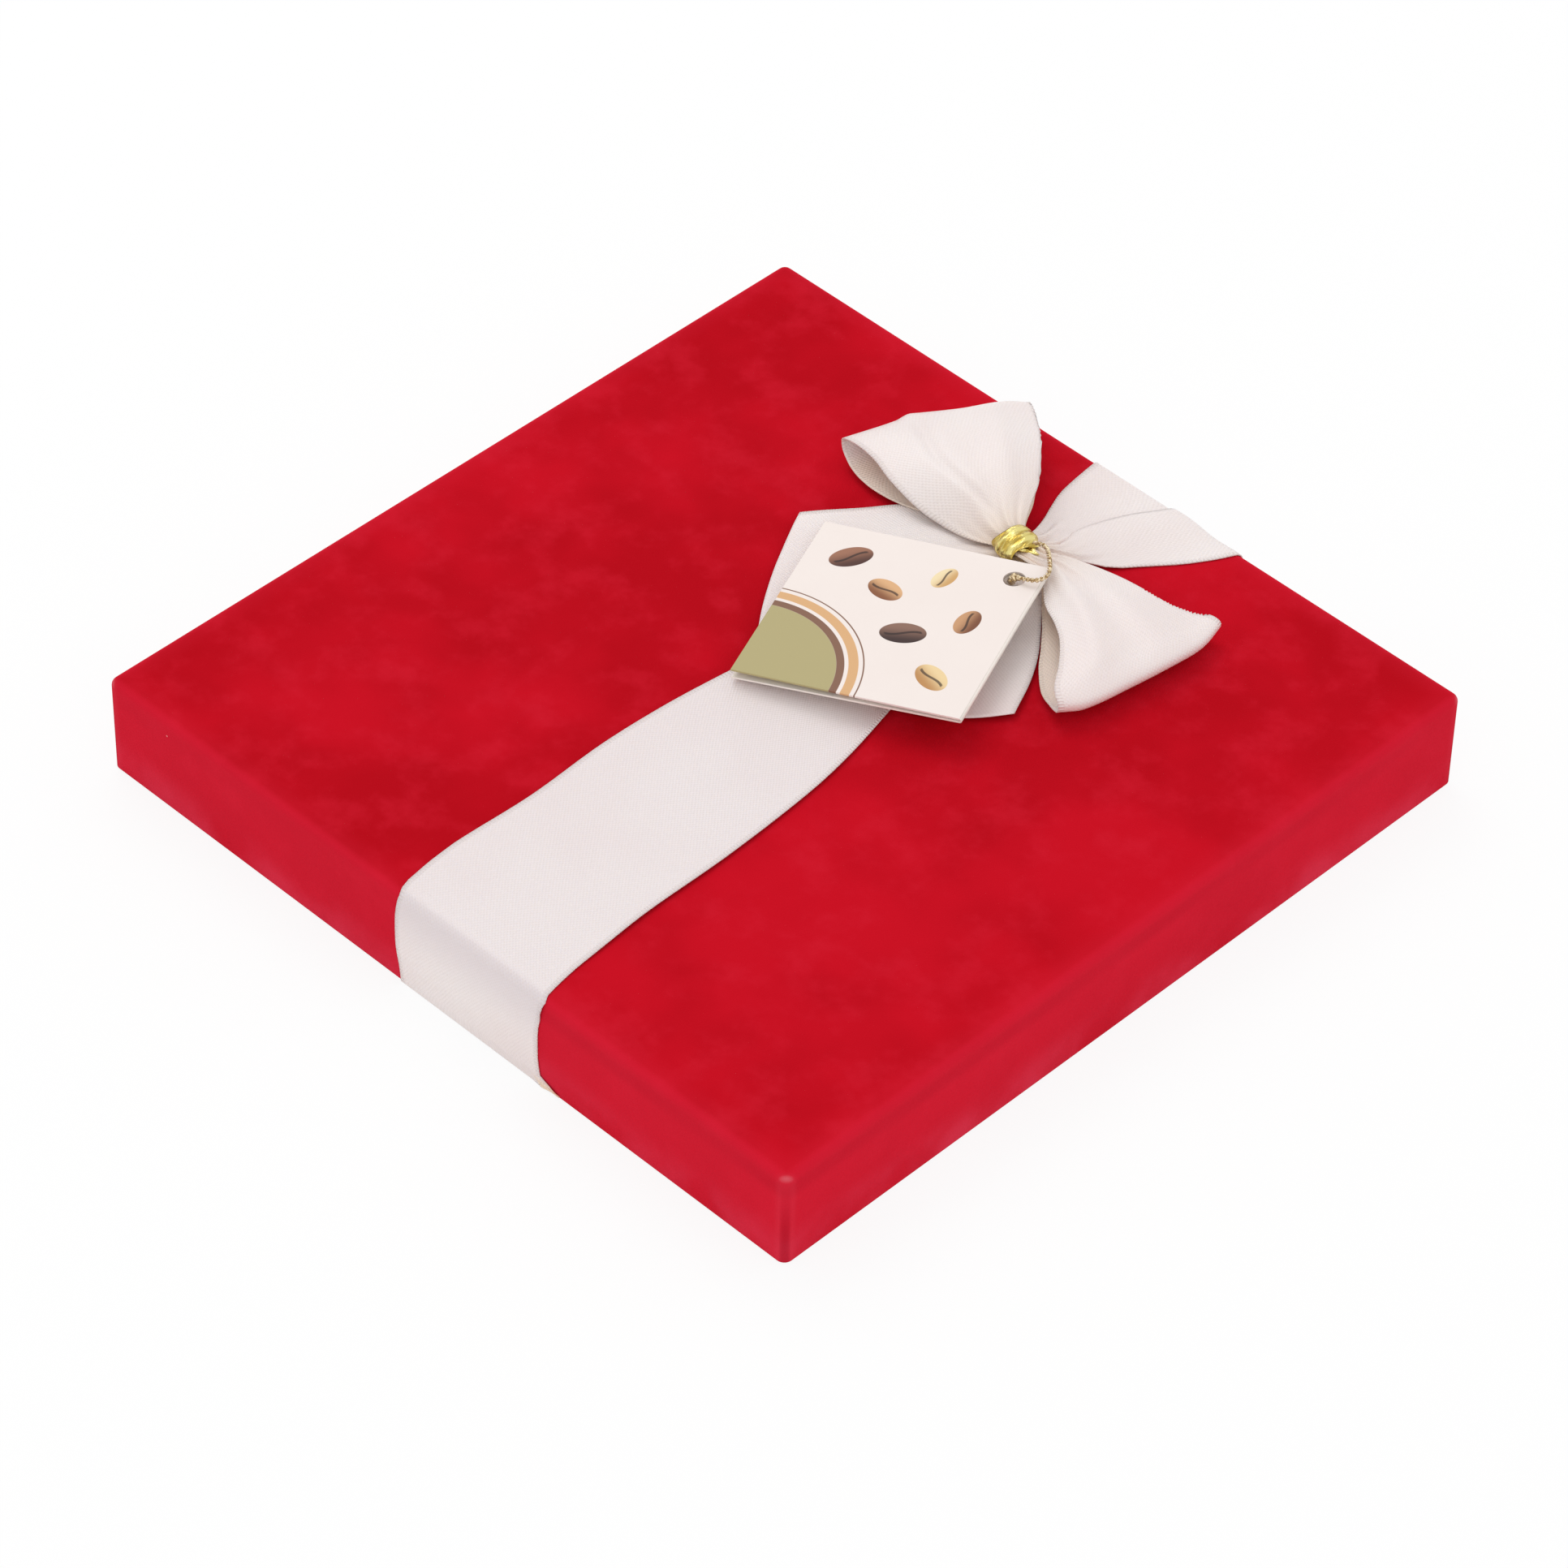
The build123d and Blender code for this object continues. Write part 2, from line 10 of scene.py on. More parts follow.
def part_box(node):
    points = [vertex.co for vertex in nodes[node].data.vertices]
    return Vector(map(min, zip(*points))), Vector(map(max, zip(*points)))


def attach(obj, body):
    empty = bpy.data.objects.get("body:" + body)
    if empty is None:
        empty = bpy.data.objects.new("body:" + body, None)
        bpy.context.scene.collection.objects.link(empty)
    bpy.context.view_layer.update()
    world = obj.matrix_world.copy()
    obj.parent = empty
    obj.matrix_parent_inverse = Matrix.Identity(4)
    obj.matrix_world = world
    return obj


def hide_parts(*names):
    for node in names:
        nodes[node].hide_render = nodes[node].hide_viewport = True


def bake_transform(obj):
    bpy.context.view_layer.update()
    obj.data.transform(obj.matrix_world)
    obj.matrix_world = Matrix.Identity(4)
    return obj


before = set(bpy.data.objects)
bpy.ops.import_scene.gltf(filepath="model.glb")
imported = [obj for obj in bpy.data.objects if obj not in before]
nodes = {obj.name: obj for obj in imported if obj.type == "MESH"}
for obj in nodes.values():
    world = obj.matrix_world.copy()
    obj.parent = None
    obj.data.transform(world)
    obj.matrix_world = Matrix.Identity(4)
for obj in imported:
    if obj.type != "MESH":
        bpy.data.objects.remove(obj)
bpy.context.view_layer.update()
scene = bpy.context.scene
scene.view_settings.view_transform = "Standard"


# Camera
# A long lens on a stand about 1.3 m from the box, looking down on its front right corner.
lens_mm, sight_limit = 152.147, 20
camera_from = (0.6747, -0.6981, 0.9089)
camera_turn, camera_fall, camera_roll = 44.016, 43.203, 1.364

camera = bpy.data.objects.new("camera", bpy.data.cameras.new("camera"))
camera.data.lens = lens_mm
camera.data.clip_end = sight_limit
camera.matrix_world = (
    Matrix.Translation(camera_from)
    @ Matrix.Rotation(radians(camera_turn), 4, "Z")
    @ Matrix.Rotation(radians(90 - camera_fall), 4, "X")
    @ Matrix.Rotation(radians(camera_roll), 4, "Z")
)
scene.collection.objects.link(camera)
scene.camera = camera


# Gold cord of the card
# Two metallic strands twisted together. It comes out of the tie, rounds the card's corner,
# goes down through both holes and runs back below the card, with a knot in the hole.
cord_route = [
    (0.0102, 0.0601, 0.0315), (0.0121, 0.0609, 0.0318), (0.0142, 0.0601, 0.0323),
    (0.0164, 0.0582, 0.0328), (0.0189, 0.0558, 0.0333), (0.0208, 0.0532, 0.0336),
    (0.0204, 0.0506, 0.0335), (0.018, 0.0493, 0.0332), (0.0156, 0.0494, 0.032),
    (0.0147, 0.0495, 0.03), (0.0131, 0.0504, 0.0285), (0.0109, 0.0524, 0.0281),
    (0.0088, 0.0544, 0.0282),
]
route_steps = 12
strand_radius, strand_out, strand_twist, strand_sides = 0.00027, 0.00025, 0.0019, 8
# The lumps of the knot in millimetres: middle and radius
knot_lumps = [
    (15.1, 49.3, 32.1, 0.62), (15.9, 49.9, 31.9, 0.55), (15.7, 48.8, 32.0, 0.5),
    (14.6, 50.1, 31.7, 0.48), (16.3, 49.3, 32.3, 0.48), (15.2, 50.5, 31.5, 0.42),
    (14.5, 49.2, 31.5, 0.45), (15.0, 48.5, 31.3, 0.4),
]
lump_stretch = (1.2, 0.9, 0.9, 1)


def linear(hex_colour):
    """A colour written as six sRGB digits, as the shaders want it."""
    parts = [int(hex_colour[i:i + 2], 16) / 255 for i in (0, 2, 4)]
    return [c / 12.92 if c < 0.04045 else ((c + 0.055) / 1.055) ** 2.4 for c in parts] + [1]


def add(tree, kind, inputs=(), **settings):
    """Adds a shader node with its settings, gives its inputs their values or links, by name
    or in turn, and returns its outputs."""
    node = tree.nodes.new("ShaderNode" + kind)
    for name, value in settings.items():
        setattr(node, name, value)
    for name, value in inputs.items() if isinstance(inputs, dict) else enumerate(inputs):
        if isinstance(value, bpy.types.NodeSocket):
            tree.links.new(value, node.inputs[name])
        else:
            node.inputs[name].default_value = value
    return node.outputs


def coated(tree, colour, *coats):
    """A colour with coats laid over it in turn. Each has its own colour, how much of it there
    is at most, and the masks from 0 to 1 that say where it lies."""
    for hex_colour, share, *masks in coats:
        for mask in masks:
            share = add(tree, "Math", (share, mask), operation="MULTIPLY")[0]
        inputs = {0: share, 6: colour, 7: linear(hex_colour)}
        colour = add(tree, "Mix", inputs, data_type="RGBA")[2]
    return colour


def material(name, **inputs):
    """A material with its shader's constant values set, its tree and object coordinates."""
    made = bpy.data.materials.new(name)
    made.use_nodes = True
    tree = made.node_tree
    for key, value in inputs.items():
        tree.nodes["Principled BSDF"].inputs[key.replace("_", " ")].default_value = value
    return made, tree, add(tree, "TexCoord")["Object"]


def finish_off(tree, colour, height=None, relief=0.0, strength=1.0):
    """Gives a material its colour and its raised pattern, whose full height is relief."""
    shader = tree.nodes["Principled BSDF"]
    tree.links.new(colour, shader.inputs["Base Color"])
    if height is not None:
        inputs = {"Height": height, "Distance": relief, "Strength": strength}
        tree.links.new(add(tree, "Bump", inputs)[0], shader.inputs["Normal"])


def piece(name, mesh_maker, finish, body=None, thickness=None):
    """An object at the origin from a finished bmesh, riding on its body. One made as a sheet
    without thickness gets its thickness here, half to each side."""
    mesh = bpy.data.meshes.new(name)
    mesh_maker.to_mesh(mesh)
    mesh_maker.free()
    mesh.shade_smooth()
    mesh.materials.append(finish)
    made = bpy.data.objects.new(name, mesh)
    scene.collection.objects.link(made)
    if thickness:
        wall = made.modifiers.new("thickness", "SOLIDIFY")
        wall.thickness, wall.offset = thickness, 0
    if body:
        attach(made, body)
    return made


route = bpy.data.curves.new("cord_route", "CURVE")
route.dimensions = "3D"
spline = route.splines.new("NURBS")
spline.points.add(len(cord_route) - 1)
for point, place in zip(spline.points, cord_route):
    point.co = (*place, 1)
spline.order_u = 3
spline.use_endpoint_u = True
route.resolution_u = route_steps
route_object = bpy.data.objects.new("cord_route", route)
cord_path = [v.co.copy() for v in bpy.data.meshes.new_from_object(route_object).vertices]
bpy.data.objects.remove(route_object)

# Metallised film wound round yarn: a brownish gold, with small painted glints as bright specks
cord_gold, tree, where = material(
    "metallic gold thread", Metallic=0.8, Roughness=0.33, Sheen_Weight=0.2,
)
painted_glint_size, winding_size, winding_relief = 0.0005, 0.00015, 0.00004
painted_glint = add(tree, "TexNoise", {"Vector": where, "Scale": 1 / painted_glint_size, "Detail": 3.0})[0]
painted_glint = add(tree, "MapRange", (painted_glint, 0.35, 0.65), interpolation_type="SMOOTHSTEP")[0]
windings = add(tree, "TexNoise", {"Vector": where, "Scale": 1 / winding_size, "Detail": 3.0})[0]
# Painted glints: pale gold specks mixed into the thread's colour
colour = coated(tree, linear("9A7640"), ("FBE9C4", 1.0, painted_glint))
finish_off(tree, colour, windings, winding_relief)

bm = bmesh.new()
for strand in range(2):
    ring = None
    way = 0.0
    for i, here in enumerate(cord_path):
        before = cord_path[max(i - 1, 0)]
        after = cord_path[min(i + 1, len(cord_path) - 1)]
        way += (here - before).length
        along = (after - before).normalized()
        side = along.cross(Vector((0, 0, 1)))
        side = side.normalized() if side.length > 0.01 else Vector((1, 0, 0))
        turn = 2 * pi * (strand / 2 + way / strand_twist)
        offset = strand_out * (cos(turn) * side + sin(turn) * side.cross(along))
        basis = Matrix((side, side.cross(along), along)).transposed().to_4x4()
        spot = Matrix.Translation(here + offset) @ basis
        made = bmesh.ops.create_circle(
            bm, segments=strand_sides, radius=strand_radius, matrix=spot
        )
        edges = list({e for v in made["verts"] for e in v.link_edges})
        if ring:
            bmesh.ops.bridge_loops(bm, edges=ring + edges)
        else:
            bmesh.ops.contextual_create(bm, geom=edges)
        ring = edges
    bmesh.ops.contextual_create(bm, geom=ring)
for x, y, z, radius in knot_lumps:
    spot = Matrix.Translation(Vector((x, y, z)) / 1000) @ Matrix.Diagonal(lump_stretch)
    bmesh.ops.create_icosphere(bm, subdivisions=2, radius=radius / 1000, matrix=spot)
bmesh.ops.recalc_face_normals(bm, faces=bm.faces)
cord = piece("card_cord", bm, cord_gold)
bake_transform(cord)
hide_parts("tag_string")


# Table, lamps and white surroundings
# A white sheet under the box; a large soft lamp above and behind to the left, a wider one in
# front to the right, and an even white room.
key_at, key_size, key_power = (-0.75, 0.35, 1.3), 0.9, 4.6
fill_at, fill_size, fill_power = (0.9, -0.9, 0.8), 1.4, 2.2
room_strength = 0.84
sheet_half_side, glow_share = 3, 0.88

# Matt white paper, which looks as bright as the room but keeps the box's faint shadow
sheet_white, tree, where = material(
    "white sheet", Base_Color=linear("FAFAFA"), Roughness=0.9,
)
rays = add(tree, "LightPath")
seen = add(tree, "Math", (rays["Is Camera Ray"], rays["Is Glossy Ray"]), operation="MAXIMUM")[0]
seen = add(tree, "Math", (seen, rays["Is Transmission Ray"]), operation="MAXIMUM")[0]
glowing = add(tree, "Math", (seen, glow_share), operation="MULTIPLY")[0]
glow = add(tree, "Emission", {"Color": linear("FFFFFF"), "Strength": 1.0})[0]
lit = tree.nodes["Principled BSDF"].outputs[0]
mixed = add(tree, "MixShader", (glowing, lit, glow))[0]
tree.links.new(mixed, tree.nodes["Material Output"].inputs["Surface"])
bm = bmesh.new()
bmesh.ops.create_grid(bm, x_segments=1, y_segments=1, size=sheet_half_side)
piece("table_sheet", bm, sheet_white)

room = bpy.data.worlds.new("white room")
room.use_nodes = True
scene.world = room
tree = room.node_tree
rays = add(tree, "LightPath")
seen = (rays["Is Camera Ray"], rays["Is Transmission Ray"])
seen = add(tree, "Math", seen, operation="MAXIMUM")[0]
strength = add(tree, "MapRange", {"Value": seen, "To Min": room_strength, "To Max": 1.0})[0]
tree.nodes["Background"].inputs["Color"].default_value = linear("FFFFFF")
tree.links.new(strength, tree.nodes["Background"].inputs["Strength"])
for name, at, size, power in (
    ("key lamp", key_at, key_size, key_power), ("fill lamp", fill_at, fill_size, fill_power),
):
    lamp = bpy.data.lights.new(name, "AREA")
    lamp.size, lamp.energy = size, power
    lamp_object = bpy.data.objects.new(name, lamp)
    lamp_object.matrix_world = (
        Matrix.Translation(at) @ Vector(at).to_track_quat("Z", "Y").to_matrix().to_4x4()
    )
    scene.collection.objects.link(lamp_object)


# Flocked cover of the lid
# Red nylon flock on paper, wrapped round the lid's board with a seam at each corner and turned
# in under the rim. The board's own shape shows through it, so the solid stays as it is.
half_side = 0.095
corner_sum = 2 * half_side
lint_per_metre, lint_share = 55.0, 0.013
pile_relief = 0.00012

# Upright fibres swallow the light: dull and deep, cloudy where the pile leans either way, and
# rosy where hands have brushed it. Light and shade are painted in as well: lighter sides with a
# pink sheen in patches along their foot, a darker band below the top edge, and highlights along
# the top's rim and beside the corner seams. The fibres, about 0.05 mm, are drawn eight times as
# coarse, so that they show.
flock, tree, where = material(
    "red flocked paper", Roughness=0.95, Sheen_Weight=0.08, Sheen_Roughness=0.4,
    Sheen_Tint=linear("FF5064"), Specular_IOR_Level=0.04,
)
axes = add(tree, "SeparateXYZ", (where,))
across = add(tree, "Math", (axes["X"],), operation="ABSOLUTE")[0]
along = add(tree, "Math", (axes["Y"],), operation="ABSOLUTE")[0]
outermost = add(tree, "Math", (across, along), operation="MAXIMUM")[0]
corner = add(tree, "Math", (across, along), operation="ADD")[0]
# From clouds of 42 mm down to the pile itself: size in metres, detail and roughness
field = {}
for name, size, detail, roughness in (
    ("cloud", 0.042, 3.5, 0.55), ("brushing", 0.012, 4.0, 0.6), ("rubbing", 0.02, 3.0, 0.5),
    ("pile", 0.0004, 2.0, 0.5),
):
    inputs = {"Vector": where, "Scale": 1 / size, "Detail": detail, "Roughness": roughness}
    field[name] = add(tree, "TexNoise", inputs)[0]
# Each mask is 0 at its first value and 1 at its second, smooth between; places are in metres
mask = {}
for name, value, low, high in (
    ("cloudy", field["cloud"], 0.36, 0.66),
    ("brushed", field["brushing"], 0.45, 0.72),
    ("rubbed", field["rubbing"], 0.3, 0.65),
    ("side", outermost, half_side - 0.0022, half_side - 0.0002),
    ("top rim", outermost, half_side - 0.0065, half_side - 0.0005),
    ("low rim", axes["Z"], 0.011, 0.0005),
    ("above middle", axes["Z"], 0.0165, 0.0195),
    ("below fold", axes["Z"], 0.0228, 0.0205),
    ("narrowing", axes["Z"], 0.0245, 0.006),
    ("fold", axes["Z"], 0.0216, 0.0232),
    ("seam", corner, corner_sum - 0.0018, corner_sum - 0.0011),
    ("beside", corner, corner_sum - 0.0034, corner_sum - 0.0017),
    ("tip", corner, corner_sum - 0.0024, corner_sum - 0.0012),
):
    inputs = (value, low, high)
    mask[name] = add(tree, "MapRange", inputs, interpolation_type="SMOOTHSTEP")[0]
seam = add(tree, "Math", (mask["seam"], mask["narrowing"]), operation="MULTIPLY")[0]
off_seam = add(tree, "Math", (1.0, seam), operation="SUBTRACT")[0]
lint = add(tree, "TexVoronoi", {"Vector": where, "Scale": lint_per_metre}, feature="F1")
speck = add(tree, "Math", (lint["Distance"], lint_share), operation="LESS_THAN")[0]
colour = coated(
    tree, linear("B50818"),
    ("C80E21", 1.0, mask["cloudy"]),
    ("D21E32", 0.4, mask["brushed"]),
    # Painted light: the sides are painted lighter than the top
    ("DC2038", 0.5, mask["side"]),
    # Painted sheen: pink patches along the foot of the sides
    ("E2405A", 0.7, mask["low rim"], mask["side"], mask["rubbed"]),
    # Painted shade: a darker band on the sides just below the top edge
    ("A00A1C", 0.3, mask["cloudy"], mask["side"], mask["above middle"], mask["below fold"]),
    # Painted highlight: lighter towards the top's outer edges and over the sides
    ("D4243A", 0.2, mask["top rim"]),
    ("7A0614", 0.34, seam),
    # Painted highlight: a lighter strip beside each corner seam
    ("DC4256", 0.15, mask["beside"], off_seam),
    # A pale pink spot at the top of each corner seam: worn pile with a painted highlight on it
    ("E07884", 0.55, mask["tip"], mask["fold"]),
    ("F0A8A8", 0.55, speck),
)
pile = (mask["brushed"], 0.6, field["pile"])
pile = add(tree, "Math", pile, operation="MULTIPLY_ADD")[0]
finish_off(tree, colour, pile, pile_relief, 0.7)


def dress(name, finish):
    """Gives a solid from the CAD model its material."""
    nodes[name].data.materials.clear()
    nodes[name].data.materials.append(finish)


dress("lid_cover", flock)


# Long run of the ribbon
# One 40 mm satin ribbon, taped inside the front of the lid, turned round under the rim, over
# the top, pinched to a neck under the bow, fanned out behind it with one pleat, and in again
# at the back. The bow is tied of the same ribbon.
ribbon_width, ribbon_thick = 40.0, 0.00025
tie_x, tie_y, lid_top = 6.3, 60.0, 23.6
warp_step, weft_step, rib_step, selvedge_wide = 0.00095, 0.0008, 0.0007, 0.0012
slub_size, slub_squeeze, tint_size = 0.0007, 2.6, 0.03
weave_relief = 0.00008

# Ivory satin: smooth floats of yarn with a soft sheen and ribs along both edges. A warm tone is
# painted into the gathers and folds for the light that comes through them; the long run is
# painted greyer towards the front, with a painted shade on the front wall just under the fold.
# The twill, about 0.15 mm a thread, is drawn some six times as coarse, so that it shows.
satin, tree, where = material(
    "ivory satin", Roughness=0.34, Sheen_Weight=0.1, Sheen_Roughness=0.35,
    Anisotropic=0.4, Specular_IOR_Level=0.55, Subsurface_Weight=0.08,
    Subsurface_Radius=(1.0, 0.72, 0.5), Subsurface_Scale=0.0012,
)
place = add(tree, "SeparateXYZ", (where,))
painted_warmth = add(tree, "Attribute", attribute_name="painted_warmth")["Fac"]
weave = add(tree, "UVMap", uv_map="UVMap")[0]
run = add(tree, "SeparateXYZ", (weave,))
waves = []
for distance, step in ((run["X"], warp_step), (run["Y"], weft_step), (run["X"], rib_step)):
    turn = add(tree, "Math", (distance, 2 * pi / step), operation="MULTIPLY")[0]
    waves.append(add(tree, "Math", (turn,), operation="SINE")[0])
warp, weft, ribs = waves
twill = add(tree, "Math", (warp, weft), operation="MULTIPLY")[0]
far_edge = add(tree, "Math", (ribbon_width / 1000, run["Y"]), operation="SUBTRACT")[0]
from_edge = add(tree, "Math", (run["Y"], far_edge), operation="MINIMUM")[0]
squeezed = add(tree, "Mapping", {"Vector": weave, "Scale": (1.0, slub_squeeze, 1.0)})[0]
inputs = {"Vector": squeezed, "Scale": 1 / slub_size, "Detail": 3.0, "Roughness": 0.7}
slub = add(tree, "TexNoise", inputs)[0]
tint = add(tree, "TexNoise", {"Vector": where, "Scale": 1 / tint_size, "Detail": 2.0})[0]
mask = {}
for name, value, low, high in (
    ("tinted", tint, 0.3, 0.7),
    ("deep", painted_warmth, 0.0, 1.0),
    ("top", place["Y"], 0.035, -0.02),
    ("front", place["Y"], -0.0925, -0.0945),
    ("under fold", place["Z"], 0.008, 0.0225),
    ("slub", slub, 0.35, 0.75),
    ("hollow", twill, -0.2, -0.8),
    ("selvedge", from_edge, selvedge_wide, 0.75 * selvedge_wide),
    ("rib", ribs, -1.4, 1.2),
):
    inputs = (value, low, high)
    mask[name] = add(tree, "MapRange", inputs, interpolation_type="SMOOTHSTEP")[0]
# Greyer towards the front on top, and a painted shade on the front wall just under the fold
on_top = add(tree, "Math", (mask["top"], 0.5), operation="MULTIPLY")[0]
painted_fold_shade = add(tree, "Math", (mask["under fold"], 0.85), operation="MULTIPLY")[0]
front_grey_and_shade = add(tree, "Mix", {0: mask["front"], 2: on_top, 3: painted_fold_shade})[0]
colour = coated(
    tree, linear("F3E5E2"),
    ("F7EDEA", 1.0, mask["tinted"]),
    ("E2D6D8", 1.0, front_grey_and_shade),
    # Painted light: a warm tone in the folds and gathers, for light that comes through the cloth
    ("F9DDBC", 1.0, mask["deep"]),
    ("D4C6C2", 0.2, mask["slub"]),
    ("D6C4BC", 0.25, mask["hollow"]),
    ("CBB7AC", 0.18, mask["selvedge"], mask["rib"]),
)
face = add(tree, "Math", (twill, 0.5), operation="MULTIPLY")[0]
face = add(tree, "Math", (slub, 0.3, face), operation="MULTIPLY_ADD")[0]
height = add(tree, "Mix", {0: mask["selvedge"], 2: face, 3: ribs})[0]
finish_off(tree, colour, height, weave_relief, 0.75)

# Corners of its path from the side, as distance to the back and height, with their bends
band_corners = [
    ((-92.125, 16.45), 0), ((-92.125, 0.225), 0.38), ((-95.225, 0.225), 0.38),
    ((-95.225, 23.825), 1.825), ((46, 23.825), 7), ((54.05, 24.325), 7), ((65.95, 24.325), 7),
    ((74, 23.825), 7), ((95.225, 23.825), 1.825), ((95.225, 0.225), 0.38),
    ((92.125, 0.225), 0.38), ((92.125, 16.45), 0),
]
band_step, bend_step, band_columns = 2.2, 18, 60
front_wall, pleat_from = -95, 62
# Its edges in millimetres from front to back, across by the place along the box
band_left = [
    (-98.8, -9.8), (-95, -9.8), (-94, -10.25), (-92.8, -10.8), (-90.8, -11.3), (-88.4, -11.6),
    (-86.2, -11.94), (-83.8, -12.18), (-81.4, -12.31), (-77.9, -12.48), (-58.9, -11.92),
    (-38, -12.88), (-20.9, -12.4), (-4.94, -10.72), (15.2, -8), (39.9, -0.8), (54.75, 3.8),
    (65.25, 3.8), (71.82, 1.8), (77.9, -0.8), (82.65, -2.4), (94.62, -3.92), (98.8, -3.92),
]
band_right = [
    (-98.8, 30.7), (-95, 30.7), (-94, 30.25), (-93.1, 29.9), (-91, 29.5), (-88.9, 29.12),
    (-84.5, 28.55), (-79.8, 28.25), (-75, 27.95), (-64.03, 27.2), (-41.99, 26.88),
    (-18.05, 25.2), (-4.75, 23.08), (8.93, 19.8), (24.7, 16), (45.6, 11.6), (54.75, 8.8),
    (62, 8.4), (65.1, 10.6), (68.2, 16), (71.2, 20.2), (77.2, 24.9), (85, 30.9), (94, 35.8),
    (98.8, 36.08),
]
# The same edges on the front wall, by height, with a flare at the foot of the right one
wall_left = [
    (0.2, -9.6), (3.3, -9.9), (5.4, -10.2), (7.2, -10.6), (9.3, -10.88), (13.6, -10.95),
    (18.1, -10.75), (20.7, -10.3), (22.9, -9.8), (24, -9.8),
]
wall_right = [
    (0.2, 29.6), (2.7, 29.4), (4.3, 29.1), (5.8, 28.8), (10, 28.72), (14.6, 28.85),
    (16.7, 29.25), (18.6, 29.6), (20.4, 29.85), (21.5, 30.2), (22.9, 30.7), (24, 30.7),
]
foot_flare = 5.2
pleat_line = [(60, 6.3), (68, 7.2), (78, 9.2), (86.3, 12.4), (95, 17.6), (99, 18)]
pleat_share, pleat_turn, pleat_lap, pleat_high = 0.5, 0.03, 2.6, 0.75
table_clear = 0.14


def laid_grid(rows, columns, place, closed=False):
    """A grid whose vertices go where place(row, across) says, across from 0 to 1, with a
    UV map in metres and a share of painted warm tone. A closed one meets itself across."""
    bm = bmesh.new()
    bmesh.ops.create_grid(bm, x_segments=rows, y_segments=columns, size=0.5)
    uv = bm.loops.layers.uv.new("UVMap")
    painted_warmth = bm.verts.layers.float.new("painted_warmth")
    spots = {}
    for v in bm.verts:
        row, across = round((v.co.x + 0.5) * rows), v.co.y + 0.5
        spots[v], v[painted_warmth], flat = place(row, across)
        for loop in v.link_loops:
            loop[uv].uv = flat
    for v, spot in spots.items():
        v.co = Vector(spot) / 1000
    if closed:
        bmesh.ops.remove_doubles(bm, verts=bm.verts, dist=0.000001)
        bmesh.ops.recalc_face_normals(bm, faces=bm.faces)
    return bm


def read(table, at):
    """A table's value at a place, by smooth curves through its pairs of place and value."""
    at = min(max(at, table[0][0]), table[-1][0])
    i = max(k for k in range(len(table) - 1) if table[k][0] <= at)
    (x0, y0), (x1, y1) = table[i], table[i + 1]
    slopes = []
    for k in (i, i + 1):
        (xa, ya), (xb, yb) = table[max(k - 1, 0)], table[min(k + 1, len(table) - 1)]
        slopes.append((yb - ya) / (xb - xa) * (x1 - x0))
    t = (at - x0) / (x1 - x0)
    rise = t * t * (3 - 2 * t)
    return y0 + (y1 - y0) * rise + slopes[0] * t * (1 - t) ** 2 - slopes[1] * t * t * (1 - t)


def mix(a, b, share):
    """A value between two, by the share of the second."""
    return a + (b - a) * share


def ease(value, low, high):
    """0 at low and 1 at high, smooth between; high may be the lower one."""
    t = min(max((value - low) / (high - low), 0), 1)
    return t * t * (3 - 2 * t)


def stations(corners, spacing):
    """Places along a bent strip: point, outward normal and distance gone."""
    points = [Vector(corners[0][0])]
    for (a, _), (b, bend), (c, _) in zip(corners, corners[1:], corners[2:]):
        a, b, c = Vector(a), Vector(b), Vector(c)
        into, out = (b - a).normalized(), (c - b).normalized()
        turn = into.angle_signed(out)
        reach = bend * abs(tan(turn / 2))
        start, middle = b - into * reach, bend * (1 if turn < 0 else -1)
        centre = start + middle * Vector((-into.y, into.x))
        count = max(2, round(abs(turn) / radians(bend_step)))
        gap = start - points[-1]
        runs = max(1, round(gap.length / spacing))
        points += [points[-1] + gap * (k + 1) / runs for k in range(runs)]
        arm = start - centre
        points += [
            centre + Matrix.Rotation(-turn * (k + 1) / count, 2) @ arm for k in range(count)
        ]
    gap = Vector(corners[-1][0]) - points[-1]
    runs = max(1, round(gap.length / spacing))
    points += [points[-1] + gap * (k + 1) / runs for k in range(runs)]
    made, way = [], 0
    for i, here in enumerate(points):
        before, after = points[max(i - 1, 0)], points[min(i + 1, len(points) - 1)]
        along = (after - before).normalized()
        way += (here - before).length
        made.append((here, Vector((-along.y, along.x)), way))
    return made


band_path = stations(band_corners, band_step)


